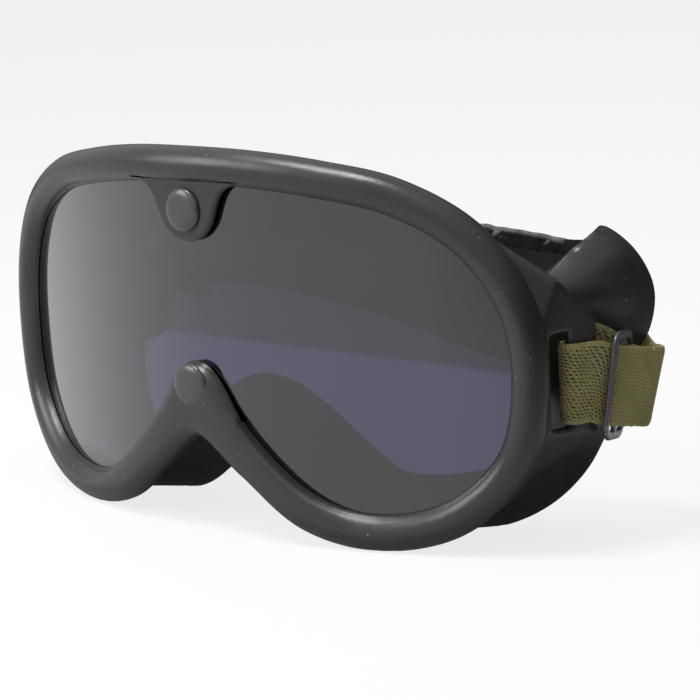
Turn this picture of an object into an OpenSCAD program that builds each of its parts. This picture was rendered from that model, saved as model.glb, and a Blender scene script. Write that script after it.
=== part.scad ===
/* [Rim] */
// Radius of the round rubber bead that frames the lens
bead_r = 4.5; // [4:0.1:5]
// Depth of the lens bow at its centre, as a hyperbola's height
bow_depth = 61; // [58:0.5:64]
// Width scale of the lens bow
bow_width = 90.7; // [88:0.1:96]

/* [Lens] */
// Thickness of the flexible lens
lens_t = 0.9; // [0.6:0.1:1]
// How far the lens reaches into the groove of the bead
lens_bite = 2.3; // [1.8:0.1:2.8]
// Radius of the two holes that the snap studs pass through
lens_hole_r = 2.6; // [2.5:0.1:3]

/* [Face skirt] */
// Thickness of the rubber side wall
wall_t = 2.2; // [1.6:0.1:2.6]
// Thickness of the face lip
lip_t = 1.4; // [1:0.1:1.8]
// Depth of the skirt's rear edge behind the lens centre, at the brow and nose
skirt_mid_y = 26; // [22:1:30]
// Depth of the skirt's rear edge behind the lens centre, at the temples
skirt_side_y = 62; // [58:1:64]
// Flat that the rubber stands on, cut off the lowest rubber
foot_flat = 0.5; // [0.3:0.1:0.8]

/* [Strap ears] */
// Distance of the ear's root from the middle plane
ear_x = 85.5; // [85:0.1:86]
// Depth of the ear's root behind the lens centre
ear_y = 26; // [25.5:0.1:26.5]
// Height of the slot's middle over the middle of the rim
ear_z = -6.5; // [-8:0.5:-5]
// Direction of the ear, in degrees from straight sideways towards the rear
ear_turn = 75; // [72:1:78]
// Thickness of the ear
ear_t = 3; // [2.4:0.1:3.2]
// Length of the ear from its root to its rear end
ear_len = 15.5; // [15:0.1:15.8]
// Width of the bar behind the slot
ear_bar = 8.7; // [8.2:0.1:9.2]
// Open height of the slot over the webbing's own room
slot_up = 1.7; // [1:0.1:2.4]

/* [Strap] */
// Width of the elastic webbing
strap_w = 19; // [17:0.5:20]
// Thickness of the elastic webbing
strap_t = 1.3; // [1:0.1:1.5]
// Room over and under the webbing in the ear's slot
slot_room = 1; // [0.6:0.1:1.5]

/* [Slides] */
// Distance between the first and last bar of a slide along the strap, centre to centre
slide_len = 10; // [9:0.5:10.5]
// Width of a slide's bars
slide_w = 2; // [1.6:0.1:2.2]
// Thickness of a slide's bars
slide_t = 1.2; // [1:0.1:1.3]
// Place of a slide's first bar along its strap loop
slide_at = 16.5; // [16:0.5:17.5]

/* [Snap fasteners] */
// Height of the upper snap over the middle of the rim
top_snap_z = 33.8; // [33.5:0.1:34]
// Height of the nose snap over the middle of the rim
nose_snap_z = -9.3; // [-9.8:0.1:-9]
// Radius of the domed cap
cap_r = 5.4; // [4.8:0.1:5.6]
// Radius of the stud's head
stud_r = 2; // [1.8:0.1:2.1]
// Height of the cap's dome over the tab
cap_h = 1.6; // [1.2:0.1:1.8]
// Thickness of the upper rubber tab
top_tab_t = 1.8; // [1.6:0.1:2]
// Thickness of the nose tab
nose_tab_t = 2.6; // [2.4:0.1:2.8]

/* [Vent filters] */
// Thickness of the felt filter strips
filter_t = 2; // [1.6:0.1:2.4]
// Length of an upper filter strip along the brow
filter_len = 56; // [52:1:58]
// Length of a lower filter strip over the cheek
cheek_len = 30; // [28:1:32]
// Width of a vent port along the rim
port_w = 9; // [7:0.5:10]

/* [Hidden] */
$fn = 48;

// Clearances
lens_gap = 0.17;      // lens to each wall of its groove
rub = 0.3;            // between soft or moving neighbours
run = 0.05;           // round parts that sit in one another

// Colours
RUBBER = [0.17, 0.18, 0.18];
METAL = [0.2, 0.2, 0.21];
WEB = [0.45, 0.46, 0.32];
FELT = [0.5, 0.5, 0.48];

// Outline of the bead's centre line in the front view, right half from the brow to the nose
RIM = [
  [0, 44.5], [19, 44], [37.5, 42], [56, 38], [72, 28.5], [82, 13], [84.5, -5.5],
  [80.5, -24], [67, -37.5], [49, -42], [31, -38.5], [15.5, -27.5], [0, -18]
];
// The same line on the lens side, which rises to the snap tab at the nose
RIM_IN = [
  [0, 44.5], [19, 44], [37.5, 42], [56, 38], [72, 28.5], [82, 13], [84.5, -5.5],
  [80.5, -24], [67, -37.5], [48.5, -42], [30.5, -37.5], [13.5, -24], [0, -8]
];
// Rear edge of the skirt in the front view, with two points for each one of the rim
REAR = [
  [0, 29], [10, 29], [20, 29], [30, 28.8], [40, 28.5], [50, 27.8], [62, 26.2], [78.2, 23.4],
  [82.2, 26.8], [88.2, 21], [91.6, 12], [90.8, 2.6], [87, -6], [83.6, -16], [81.2, -24.6], [77, -33],
  [70.3, -40.3], [61.7, -45], [52, -46.6], [43, -46.6], [34, -45.5], [26, -42.5], [18, -37.5],
  [9, -31.5], [0, -28]
];
// Width of the face lip that the rear edge turns inwards
LIP = [6, 6, 7, 9, 13, 18, 21, 19, 15, 13.5, 13, 15, 16.5];
// Inset of the side wall between the bead and the rear edge, which leaves the vent channel
INSET = [7, 7, 8, 10, 11, 7.5, 5, 3, 1, 0, 0, 0, 0];
// Share of the way from the lens-side line to the bead line that the lens reaches at the nose
nose_reach = 0.85;
steps = 4;            // samples from one outline point to the next

// Curves through points, on closed outlines mirrored left to right
function whole(h) = concat(h, [for (i = [len(h) - 2:-1:1]) [-h[i][0], h[i][1]]]);
function whole_n(h) = concat(h, [for (i = [len(h) - 2:-1:1]) h[i]]);
function mix(a, b, t) = a + (b - a) * t;
function knot(a, b, c, d, t) =
  0.5 * (2 * b + (c - a) * t + (2 * a - 5 * b + 4 * c - d) * t * t + (3 * b - a - 3 * c + d) * t * t * t);
function loop(p, n) = [
  for (i = [0:len(p) - 1]) for (j = [0:n - 1])
    knot(p[(i + len(p) - 1) % len(p)], p[i], p[(i + 1) % len(p)], p[(i + 2) % len(p)], j / n)
];
function way(p, n) = concat([
  for (i = [0:len(p) - 2]) for (j = [0:n - 1])
    knot(p[max(i - 1, 0)], p[i], p[i + 1], p[min(i + 2, len(p) - 1)], j / n)
], [p[len(p) - 1]]);

// The lens surface bows back to the sides
function bow(x) = bow_depth * (sqrt(1 + pow(x / bow_width, 2)) - 1);
function slope(x) = bow_depth * x / (bow_width * bow_width * sqrt(1 + pow(x / bow_width, 2)));
function unit(v) = v / norm(v);
function front_dir(x) = unit([slope(x), -1, 0]);
function side_dir(x, q) = let(s = unit([1, slope(x), 0])) q[0] * s + [0, 0, q[1]];
function on_bow(p) = [p[0], bow(p[0]), p[1]];
// Outward normal of a closed outline, drawn clockwise in the front view
function out_dir(p, i) =
  let(t = unit(p[(i + 1) % len(p)] - p[(i + len(p) - 1) % len(p)])) [-t[1], t[0]];
function spin(c, o, n, a, r) = c + r * cos(a) * o + r * sin(a) * n;
function skirt_y(x) = skirt_mid_y + (skirt_side_y - skirt_mid_y) * pow(x / 92.5, 2);
function on_face(p, y) = [p[0], skirt_y(p[0]) + y, p[1]];

rim = loop(whole(RIM), steps);
rim_in = loop(whole(RIM_IN), steps);
rear = loop(whole(REAR), steps / 2);
lip = loop(whole_n(LIP), steps);
inset = loop(whole_n(INSET), steps);
count = len(rim);
groove = lens_t / 2 + lens_gap;

// One section of the rubber: bead, groove, side wall and face lip, as a closed ring of points
function out_at(i) = side_dir(rim[i][0], out_dir(rim, i));
function wall_point(i, f, half) =
  let(
    o = out_at(i), b = on_face(rear[i], 0),
    a = on_bow(rim[i]) + 0.2 * o - 0.955 * bead_r * front_dir(rim[i][0])
  )
  mix(a, b, f) + o * (half - inset[i] * sin(180 * f));
function lens_edge(i) =
  let(d = on_bow(rim_in[i]), e = side_dir(rim_in[i][0], out_dir(rim_in, i)))
  d + (lens_bite - bead_r) * e + nose_reach * (on_bow(rim[i]) - d);
function section(i) =
  let(
    c = on_bow(rim[i]), o = out_at(i), n = front_dir(rim[i][0]), h = wall_t / 2,
    d = on_bow(rim_in[i]), e = side_dir(rim_in[i][0], out_dir(rim_in, i)), m = front_dir(rim_in[i][0]),
    g = asin(groove / bead_r), k = lens_edge(i) + rub * e,
    b = on_face(rear[i], 0), q = rear[i] - lip[i] * out_dir(rim, i)
  )
  concat(
    [for (w = [180 - g, 155, 128, 102]) spin(d, e, m, w, bead_r)],
    [for (w = [76, 51, 26, 0, -26, -52]) spin(c, o, n, w, bead_r)],
    [for (f = [0, 0.3, 0.6, 0.85]) wall_point(i, f, h)],
    [b + 0.8 * o, on_face(q, 0), on_face(q, -lip_t)],
    [b - (wall_t + 0.6) * o - [0, lip_t + 0.3, 0]],
    [for (f = [0.8, 0.55, 0.3, 0]) wall_point(i, f, -h)],
    [for (w = [-130, -155, g - 180]) spin(d, e, m, w, bead_r)],
    [k - groove * m, k + groove * m]
  );
// Skins of triangles over rings of points, closed into a loop or with two end caps
function side_faces(rings, sides, last, half) = [
  for (i = [0:last]) for (j = [0:sides - 1])
    let(a = i * sides + j, b = i * sides + (j + 1) % sides, k = ((i + 1) % rings) * sides, c = k + (j + 1) % sides)
    each i < half ? [[a, b, k + j], [b, c, k + j]] : [[a, b, c], [a, c, k + j]]
];
function cap_faces(first, sides) = [for (j = [1:sides - 2]) [first, first + j + 1, first + j]];
function turned_over(faces) = [for (t = faces) [t[0], t[2], t[1]]];
module skin(rings, over = false) {
  sides = len(rings[0]);
  n = len(rings);
  faces = concat(
    side_faces(n, sides, n - 2, n), cap_faces(0, sides), turned_over(cap_faces((n - 1) * sides, sides))
  );
  polyhedron([for (r = rings) each r], over ? turned_over(faces) : faces, convexity = 6);
}
module rubber_ring() {
  rings = [for (i = [0:count - 1]) section(i)];
  polyhedron([for (r = rings) each r], side_faces(count, len(rings[0]), count - 1, count / 2), convexity = 8);
}

// Places along an ear: u runs back from its root, v stands out from its middle
ear_dir = [cos(ear_turn), sin(ear_turn)];
ear_out = [sin(ear_turn), -cos(ear_turn)];
function ear_pt(u, v, z) = let(p = [ear_x, ear_y] + u * ear_dir + v * ear_out) [p[0], p[1], z];
slot_h = strap_w + 2 * slot_room;
bar_z = slot_h / 2 + 1.2;
bar_u = ear_len - ear_bar + ear_t / 2;
slot_front = 1.2;
// Rubber web from the bead to the bar: root points lie inside the bead
EAR_ROOT = [[69, 31], [80, 15], [83.7, 4], [84.1, -17.4], [77.5, -29.5]];
module knob(p, less = 0) {
  translate(p) sphere(d = ear_t - less, $fn = 12);
}
function ear_root(i) =
  let(
    p = EAR_ROOT[i], o = [ear_out[0], ear_out[1], 0],
    q = on_bow(p) + 0.3 * bead_r * side_dir(p[0], [1, 0]) - 0.6 * bead_r * front_dir(p[0])
  )
  i == 2 || i == 3 ? q - ((q - [ear_x, ear_y, 0]) * o) * o : q;
module ear() {
  top = ear_pt(ear_len - ear_t / 2, 0, ear_z + bar_z + slot_up);
  low = ear_pt(ear_len - ear_t / 2, 0, ear_z - bar_z);
  ridge = ear_pt(4, 0, ear_z + bar_z + slot_up + 10.2);
  hull() { knob(ear_root(0), 0.24); knob(ear_root(1), 0.24); knob(ridge, 0.24); }
  hull() { knob(ear_root(1), 0.12); knob(ear_root(2), 0.12); knob(ridge, 0.12); }
  hull() { knob(ear_root(2)); knob(ear_root(3)); knob(ridge); knob(top); knob(low); }
  hull() { knob(ear_root(3), 0.12); knob(ear_root(4), 0.12); knob(low, 0.12); }
}
module ear_slot() {
  translate([ear_x, ear_y, ear_z - slot_h / 2]) rotate(ear_turn) difference() {
    translate([slot_front, -8, 0]) cube([bar_u - slot_front, 16, slot_h + slot_up]);
    translate([bar_u, 0, -1]) cylinder(d = ear_t, h = slot_h + slot_up + 2, $fn = 24);
  }
}

// Snap places from front to rear at the middle plane
tab_back = lens_t / 2 + rub;
rear_tab_t = 2;
flange_t = 0.5;
flange_r = 4.5;
socket_y = groove + 0.1;
socket_t = 1.3;
socket_r = 4.6;
socket_bore = stud_r + 0.35;
barrel_r = 1.6;
eyelet_r = 2.2;
seat_y = socket_y + socket_t;
eyelet_y = groove + rear_tab_t;
wire = 0.5;
stud_top = socket_y - 0.02;
stud_end = seat_y - 0.12;
module across(z, y) {
  translate([0, y, z]) rotate([-90, 0, 0]) children();
}
module both_snaps() {
  for (z = [top_snap_z, nose_snap_z]) translate([0, 0, z]) children();
}

// A slab of the lens's bow from depth a to depth b behind it
module bow_slab(a, b) {
  x = [for (i = [-23:22]) i * 4 + 2];
  translate([0, 0, -60]) linear_extrude(height = 120) polygon(concat(
    [for (v = x) let(n = front_dir(v)) [v - a * n[0], bow(v) - a * n[1]]],
    [for (i = [len(x) - 1:-1:0]) let(v = x[i], n = front_dir(v)) [v - b * n[0], bow(v) - b * n[1]]]
  ));
}
module front_view(outline, near, far) {
  translate([0, far, 0]) rotate([90, 0, 0]) linear_extrude(height = far - near) polygon(outline);
}

// Rubber tongue behind the lens at the brow, where the upper socket sits
TONGUE = [[20, 43], [14, 39.5], [10.5, 36.8], [8.8, 33.8], [8.2, 31], [6.4, 28], [3.5, 25.9], [0, 25.2]];
module rear_tongue() {
  intersection() {
    front_view(concat(TONGUE, [for (i = [len(TONGUE) - 2:-1:0]) [-TONGUE[i][0], TONGUE[i][1]]]), -2, 12);
    bow_slab(groove, groove + rear_tab_t);
  }
}
module snap_seat() {
  across(0, groove - 1) cylinder(r = socket_r + run, h = seat_y - groove + 1);
  across(0, 0) cylinder(r = eyelet_r + run, h = 10);
  across(0, eyelet_y) cylinder(r = socket_r + 0.4, h = 1.6);
}
// Hinge lines of the two snap tabs
top_hinge_z = RIM[0][1] - bead_r - 0.1 - top_tab_t / 2;
top_hinge_y = -tab_back - top_tab_t / 2;
nose_hinge_z = nose_snap_z - cap_r - 1.6;
nose_hinge_y = -tab_back - nose_tab_t / 2;
nose_cut_z = nose_hinge_z - nose_tab_t / 2 - rub;

PORT_X = [14, 28, 42, 56];
CHEEK_X = [42, 54, 66];
module vent_ports() {
  for (s = [-1, 1]) {
    for (x = PORT_X) translate([s * x, bow(x) + 16, 32]) cube([port_w, 7, 24], center = true);
    for (x = CHEEK_X) translate([s * x, bow(x) + 14, -45]) cube([port_w - 2, 7, 16], center = true);
  }
}
base_z = -46.5 + foot_flat;
module rubber_frame() {
  color(RUBBER) difference() {
    union() {
      rubber_ring();
      rear_tongue();
      ear();
      mirror([1, 0, 0]) ear();
    }
    ear_slot();
    mirror([1, 0, 0]) ear_slot();
    vent_ports();
    both_snaps() snap_seat();
    translate([-14, -12, nose_cut_z]) cube([28, 12, 20]);
    translate([-150, -20, base_z - 40]) cube([300, 120, 40]);
  }
}

// The two snap tabs: rows from the hinge line to the tip, rounded at the front edge
function tab_row(z, w, y, t, e) = [
  [w, y + t, z], [w, y - t + e, z], [w - 0.3 * e, y - t + 0.3 * e, z], [w - e, y - t, z],
  [e - w, y - t, z], [0.3 * e - w, y - t + 0.3 * e, z], [-w, y - t + e, z], [-w, y + t, z]
];
module tab_body(z0, dir, y, t, rows, e) {
  skin(concat(
    [for (a = [80, 55, 30]) tab_row(z0 - dir * t * sin(a), rows[0][1], y, t * cos(a), 0.2 * t)],
    [for (r = rows) tab_row(z0 + dir * r[0], r[1], y, t, min(e, 0.7 * r[1]))]
  ), dir < 0);
}
// Half width of a tab at height f of its own length: a round end on a flared root
function tab_w(f, mid, w, root, power) =
  f < mid ? w + (root - w) * pow(1 - f / mid, power) : w * sqrt(1 - pow((f - mid) / (1 - mid), 2));
module snap_tab(z0, dir, y, t, size, snap, w, root, power, e) {
  f = [0, 0.06, 0.12, 0.2, 0.3, 0.4, 0.5, 0.6, 0.7, 0.78, 0.85, 0.91, 0.955, 0.985];
  difference() {
    tab_body(z0, dir, y, t / 2, [for (k = f) [k * size, tab_w(k, snap / size, w, root, power)]], e);
    across(z0 + dir * snap, y - t) cylinder(r = barrel_r + run, h = 2 * t);
    across(z0 + dir * snap, y + t / 2 - flange_t) cylinder(r = flange_r + run, h = t);
  }
}
module top_tab() {
  color(RUBBER) snap_tab(
    top_hinge_z, -1, top_hinge_y, top_tab_t, top_hinge_z - top_snap_z + 7.8, top_hinge_z - top_snap_z,
    8.4, 13.5, 2.2, 0.7
  );
}
module nose_tab() {
  color(RUBBER) snap_tab(
    nose_hinge_z, 1, nose_hinge_y, nose_tab_t, nose_snap_z - nose_hinge_z + 5.9, nose_snap_z - nose_hinge_z,
    7.9, 11.8, 1.5, 1
  );
}

module lens() {
  edge = [for (i = [0:count - 1]) let(p = lens_edge(i)) [p[0], p[2]]];
  color([0.55, 0.53, 0.6, 0.5]) difference() {
    intersection() {
      front_view(edge, -5, 40);
      bow_slab(-lens_t / 2, lens_t / 2);
    }
    both_snaps() across(0, -3) cylinder(r = lens_hole_r, h = 6);
  }
}

// Snap fastener pieces, turned about the axis of the snap
module turned(z, profile) {
  across(z, 0) rotate_extrude() polygon(profile);
}
function dome(r, h, edge, y) =
  [for (a = [0:15:90]) [r * pow(cos(a), 0.6), y - edge - (h - edge) * sin(a)]];
module snap_cap(z, front) {
  back = -tab_back - flange_t;
  color(METAL) turned(z, concat(
    [[0, back], [barrel_r, back], [barrel_r, front], [cap_r, front]], dome(cap_r, cap_h, 0.35, front)
  ));
}
module snap_stud(z) {
  color(METAL) turned(z, concat(
    [[0, -tab_back - flange_t], [flange_r, -tab_back - flange_t], [flange_r, -tab_back], [stud_r, -tab_back]],
    [for (a = [0:15:90]) [stud_r * cos(a), stud_top + (stud_end - stud_top) * sin(a)]]
  ));
}
module top_snap_cap() { snap_cap(top_snap_z, -tab_back - top_tab_t); }
module nose_snap_cap() { snap_cap(nose_snap_z, -tab_back - nose_tab_t); }
module top_snap_stud() { snap_stud(top_snap_z); }
module nose_snap_stud() { snap_stud(nose_snap_z); }
wire_y = socket_y + 0.35;
wire_r = socket_bore + 0.35;
module snap_sockets() {
  color(METAL) both_snaps() turned(0, [
    [socket_bore, socket_y], [socket_r, socket_y], [socket_r, seat_y], [eyelet_r - 0.3, seat_y],
    [eyelet_r - 0.3, seat_y - 0.2], [socket_bore, seat_y - 0.2], [socket_bore, wire_y + wire],
    [wire_r + wire, wire_y + wire], [wire_r + wire, wire_y], [socket_bore, wire_y]
  ]);
}
module snap_springs() {
  color([0.6, 0.6, 0.6]) both_snaps() across(0, wire_y + wire / 2) rotate_extrude(angle = 300)
    translate([wire_r, 0]) polygon([for (a = [22.5:45:360]) wire / 2 / cos(22.5) * [cos(a), sin(a)]]);
}
module snap_eyelets() {
  color(METAL) both_snaps() turned(0, [
    [eyelet_r - 0.5, seat_y], [eyelet_r, seat_y], [eyelet_r, eyelet_y], [socket_r, eyelet_y],
    [socket_r + 0.2, eyelet_y + 0.2], [socket_r, eyelet_y + flange_t], [eyelet_r - 0.5, eyelet_y + flange_t]
  ]);
}

// Felt strips over the vent ports: they lie on the side wall, between two places along the rim
function wall_at(i, x, f, half) =
  let(t = (x - rim[i][0]) / (rim[i + 1][0] - rim[i][0])) mix(wall_point(i, f, half), wall_point(i + 1, f, half), t);
function strip_ring(i, x, rows, half, t) =
  let(o = out_at(i), p = [for (f = rows) wall_at(i, x, f, half) + sign(t) * run * o])
  concat(p, [for (k = [len(p) - 1:-1:0]) p[k] + t * o]);
function strip(from, to, first, last, rows, half, t) =
  let(way = sign(to - from), inner = [for (i = [first:last]) if (way * (rim[i][0] - from) > 0.5 && way * (to - rim[i][0]) > 0.5) i])
  concat(
    [strip_ring(inner[0] - 1, from, rows, half, t)], [for (i = inner) strip_ring(i, rim[i][0], rows, half, t)],
    [strip_ring(inner[len(inner) - 1], to, rows, half, t)]
  );
module brow_filter_left() {
  color(FELT) skin(strip(7, 7 + filter_len, 0, count / 4, [0.3, 0.6, 0.93], wall_t / 2, filter_t), true);
}
module cheek_filter_left() {
  color(FELT) skin(strip(69, 69 - cheek_len, count / 4, count / 2 - 1, [0.55, 0.3], -wall_t / 2, -filter_t), true);
}
module brow_filter_right() { mirror([1, 0, 0]) brow_filter_left(); }
module cheek_filter_right() { mirror([1, 0, 0]) cheek_filter_left(); }

// Strap loops: each has a frame of its own at its slide, tilted with the webbing
LEFT_LOOP = [[ear_x, ear_y, ear_z + 1.3], ear_turn, 10];
RIGHT_LOOP = [[62.5, 51, 9], 205, -14];
function in_loop(f, u, v, z) =
  let(c = cos(f[1]), s = sin(f[1]), a = u * cos(f[2]) + z * sin(f[2]))
  f[0] + [a * c + v * s, a * s - v * c, z * cos(f[2]) - u * sin(f[2])];
module at_loop(f) {
  translate(f[0]) rotate([0, f[2], f[1]]) children();
}
wrap_r = ear_t / 2 + 0.25 + strap_t / 2;
layer_v = wrap_r + 0.2;
tail_from = bar_u + 2.6;
tail_gap = 2.6;
fold_u = 28.8;
fold_r = 5.6;

// A band of webbing along 3-D points, with its width square to the way. A point may name the width's lean.
function spot(p) = [p[0], p[1], p[2]];
function band_ring(p, i) =
  let(
    n = len(p), t = unit(spot(p[min(i + 1, n - 1)]) - spot(p[max(i - 1, 0)])),
    lean = len(p[i]) > 3 ? p[i][3] : [0, 0, 1], up = unit(lean - (lean * t) * t), side = cross(t, up)
  )
  [for (q = [[1, 1], [1, -1], [-1, -1], [-1, 1]])
    spot(p[i]) + q[0] * strap_t / 2 * side + q[1] * strap_w / 2 * up];
module band(p) {
  skin([for (i = [0:len(p) - 1]) band_ring(p, i)], true);
}
// Round the ear's bar from the inner layer to the outer one
EAR_WRAP = concat(
  [ear_pt(tail_from, -layer_v, ear_z), ear_pt(bar_u + 1.3, -wrap_r - 0.1, ear_z)],
  [for (a = [270:-20:90]) ear_pt(bar_u + wrap_r * cos(a), wrap_r * sin(a), ear_z)],
  [ear_pt(bar_u + 2.5, wrap_r + 0.1, ear_z), ear_pt(bar_u + 5, layer_v, ear_z - 0.2)]
);
// The fold behind the slide has a leaning crease, so the strap turns back and climbs
fold_lean = 8;
function fold_at(a) =
  let(f = [[0, 0, 0], LEFT_LOOP[1], LEFT_LOOP[2] + fold_lean], lean = in_loop(f, 0, 0, 1))
  concat(
    in_loop(LEFT_LOOP, fold_u, layer_v, 0) + in_loop(f, fold_r * sin(a), fold_r * (cos(a) - 1), 0)
      + fold_r * a * PI / 180 * tan(fold_lean) * lean,
    [mix(lean, [0, 0, 1], pow(max(a - 30, 0) / 75, 2))]
  );
LEFT_FOLD = [for (a = [0:15:90]) fold_at(a)];
function flip(p) = [for (i = [len(p) - 1:-1:0]) [-p[i][0], p[i][1], p[i][2]]];
function right_end() = let(p = in_loop(RIGHT_LOOP, 30, layer_v, 0)) [-p[0], p[1], p[2]];
BEHIND = [[78.4, 61.4, -5.9], [68, 57.4, -2.2], [50, 49, 4], [28, 41, 12], [5, 36.6, 16.6], [-16, 36.4, 17.8]];
RIGHT_OUT = [[95.78, 54.6, -8.5], [93.6, 61.8, -10], [86, 65, -7.5], [77, 63, -2], [68, 57.6, 4.2]];
RIGHT_IN = [[91, 52.6, -8], [92.6, 58.8, -10.6], [85.8, 62.2, -7.4], [78, 60.4, -2.2], [70, 55.6, 3.6]];
RIGHT_SIDE = concat(
  way(concat(
    [in_loop(RIGHT_LOOP, tail_from, -layer_v, 0), in_loop(RIGHT_LOOP, 5, -layer_v + 0.2, 0)],
    [for (i = [4:-1:0]) RIGHT_IN[i]], [ear_pt(20, -layer_v, ear_z), ear_pt(tail_from, -layer_v, ear_z)]
  ), 4),
  [for (i = [1:len(EAR_WRAP) - 1]) EAR_WRAP[i]],
  way(concat([ear_pt(20, layer_v, ear_z)], RIGHT_OUT, [in_loop(RIGHT_LOOP, 2, layer_v, 0)]), 4),
  [for (u = [9:7:30]) in_loop(RIGHT_LOOP, u, layer_v, 0)]
);
STRAP = concat(
  EAR_WRAP, [for (u = [18:4:26]) in_loop(LEFT_LOOP, u, layer_v, 0)], LEFT_FOLD,
  way(concat([[85.3, 62.6, -8]], BEHIND, [right_end()]), 4),
  [for (i = [1:len(RIGHT_SIDE) - 1]) flip(RIGHT_SIDE)[i]]
);
module elastic_strap() {
  color(WEB) band(STRAP);
}
// The webbing's end: it arches to the slide and is sewn round the slide's last bar
bar_1 = [slide_at, layer_v + strap_t / 2 + 0.4 + slide_t / 2];
bar_3 = [slide_at + slide_len, -2.4];
bar_2 = [mix(bar_1, bar_3, 0.5)[0], layer_v - strap_t / 2 - 0.4 - slide_t / 2];
turn_r = norm([slide_w, slide_t]) / 2 + 0.12 + strap_t / 2;
TAIL = concat(
  way([
    [tail_from + tail_gap, -layer_v], [tail_from + 4.4, -3.8], [18.2, -4.8],
    [bar_3[0] - 3.4, bar_3[1] - turn_r - 0.5],
    [bar_3[0], bar_3[1] - turn_r]
  ], 3),
  [for (a = [-70:20:90]) bar_3 + turn_r * [cos(a), sin(a)]], [bar_3 + [-1.7, turn_r]]
);
module strap_end(f) {
  color(WEB) at_loop(f) band([for (p = TAIL) [p[0], -p[1], 0]]);
}
module strap_end_left() { strap_end(LEFT_LOOP); }
module strap_end_right() { mirror([1, 0, 0]) strap_end(RIGHT_LOOP); }
module slide(f) {
  in_h = strap_w + 3.2;
  r = [slide_w / 2, slide_t / 2];
  color([0.33, 0.32, 0.36]) at_loop(f) mirror([0, 1, 0]) union() {
    for (b = [bar_1, bar_2, bar_3]) translate([b[0] - r[0], b[1] - r[1], -in_h / 2 - 0.7])
      cube([slide_w, slide_t, in_h + 1.4]);
    for (z = [-in_h / 2 - 1.4, in_h / 2]) translate([0, 0, z]) linear_extrude(height = 1.4) polygon([
      bar_1 + [-r[0], r[1]], bar_1 + r, bar_3 + r, bar_3 + [r[0], -r[1]], bar_3 - r, bar_1 - r
    ]);
  }
}
module slide_left() { slide(LEFT_LOOP); }
module slide_right() { mirror([1, 0, 0]) slide(RIGHT_LOOP); }

// The row frame: on the surface that the rubber stands on, in the middle of the overall box
all_y = [for (i = [0:len(STRAP) - 1]) each [for (p = band_ring(STRAP, i)) p[1]]];
mid_y = (max(all_y) - tab_back - nose_tab_t - cap_h) / 2;
module placed() {
  translate([0, -mid_y, -base_z]) children();
}
placed() rubber_frame();
placed() top_tab();
placed() nose_tab();
placed() lens();
placed() top_snap_cap();
placed() nose_snap_cap();
placed() top_snap_stud();
placed() nose_snap_stud();
placed() snap_sockets();
placed() snap_springs();
placed() snap_eyelets();
placed() brow_filter_left();
placed() brow_filter_right();
placed() cheek_filter_left();
placed() cheek_filter_right();
placed() elastic_strap();
placed() strap_end_left();
placed() strap_end_right();
placed() slide_left();
placed() slide_right();
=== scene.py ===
"""Sun, wind and dust goggles: a moulded rubber frame with a tinted lens that two snap tabs hold,
felt vent filters and an elastic strap with two slides. Sizes below are millimetres in the design's
own frame, whose origin is the middle of the rim, on the lens; at() places them in the row frame."""

import math

import bmesh
import bpy
from mathutils import Matrix, Vector, noise
from mathutils.bvhtree import BVHTree


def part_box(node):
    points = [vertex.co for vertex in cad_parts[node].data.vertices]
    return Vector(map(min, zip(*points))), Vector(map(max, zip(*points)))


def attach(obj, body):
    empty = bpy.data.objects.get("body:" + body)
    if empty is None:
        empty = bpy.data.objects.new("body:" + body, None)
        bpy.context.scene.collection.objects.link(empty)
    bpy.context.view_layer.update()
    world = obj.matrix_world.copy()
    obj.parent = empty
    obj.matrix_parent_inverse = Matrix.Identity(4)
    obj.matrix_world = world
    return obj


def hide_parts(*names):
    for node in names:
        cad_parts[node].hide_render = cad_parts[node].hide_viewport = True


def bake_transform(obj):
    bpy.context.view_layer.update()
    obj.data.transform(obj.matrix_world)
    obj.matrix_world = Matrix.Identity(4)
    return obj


bl_info = {
    "name": "Sun Wind Dust Goggles",
    "version": (1, 0, 0),
    "blender": (4, 5, 0),
    "location": "View3D > Sidebar > Goggles",
    "description": "Builds rubber goggles with a tinted lens, snap tabs and an elastic strap",
    "category": "Add Mesh",
}

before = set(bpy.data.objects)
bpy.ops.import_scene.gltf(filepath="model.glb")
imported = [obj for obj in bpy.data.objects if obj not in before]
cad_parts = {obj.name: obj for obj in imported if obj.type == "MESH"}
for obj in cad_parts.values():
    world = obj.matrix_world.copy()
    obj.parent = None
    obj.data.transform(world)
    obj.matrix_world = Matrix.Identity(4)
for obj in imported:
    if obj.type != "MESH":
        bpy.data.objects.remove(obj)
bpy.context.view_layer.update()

MM = 0.001
LENS_FRONT = -0.435
FOOT_Z = -46.0
SHIFT = Vector((0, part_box("lens")[0].y / MM - LENS_FRONT, -FOOT_Z))

# Sizes of the rubber frame
BEAD_R = 4.5
BOW_DEPTH = 61.0
BOW_WIDTH = 90.7
LENS_T = 0.9
LENS_BITE = 2.3
LENS_HOLE_R = 2.6
LENS_GAP = 0.17
WALL_T = 2.2
LIP_T = 1.4
SKIRT_MID_Y = 26.0
SKIRT_SIDE_Y = 62.0
NOSE_REACH = 0.85
GROOVE = LENS_T / 2 + LENS_GAP
RUB = 0.3

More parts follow.
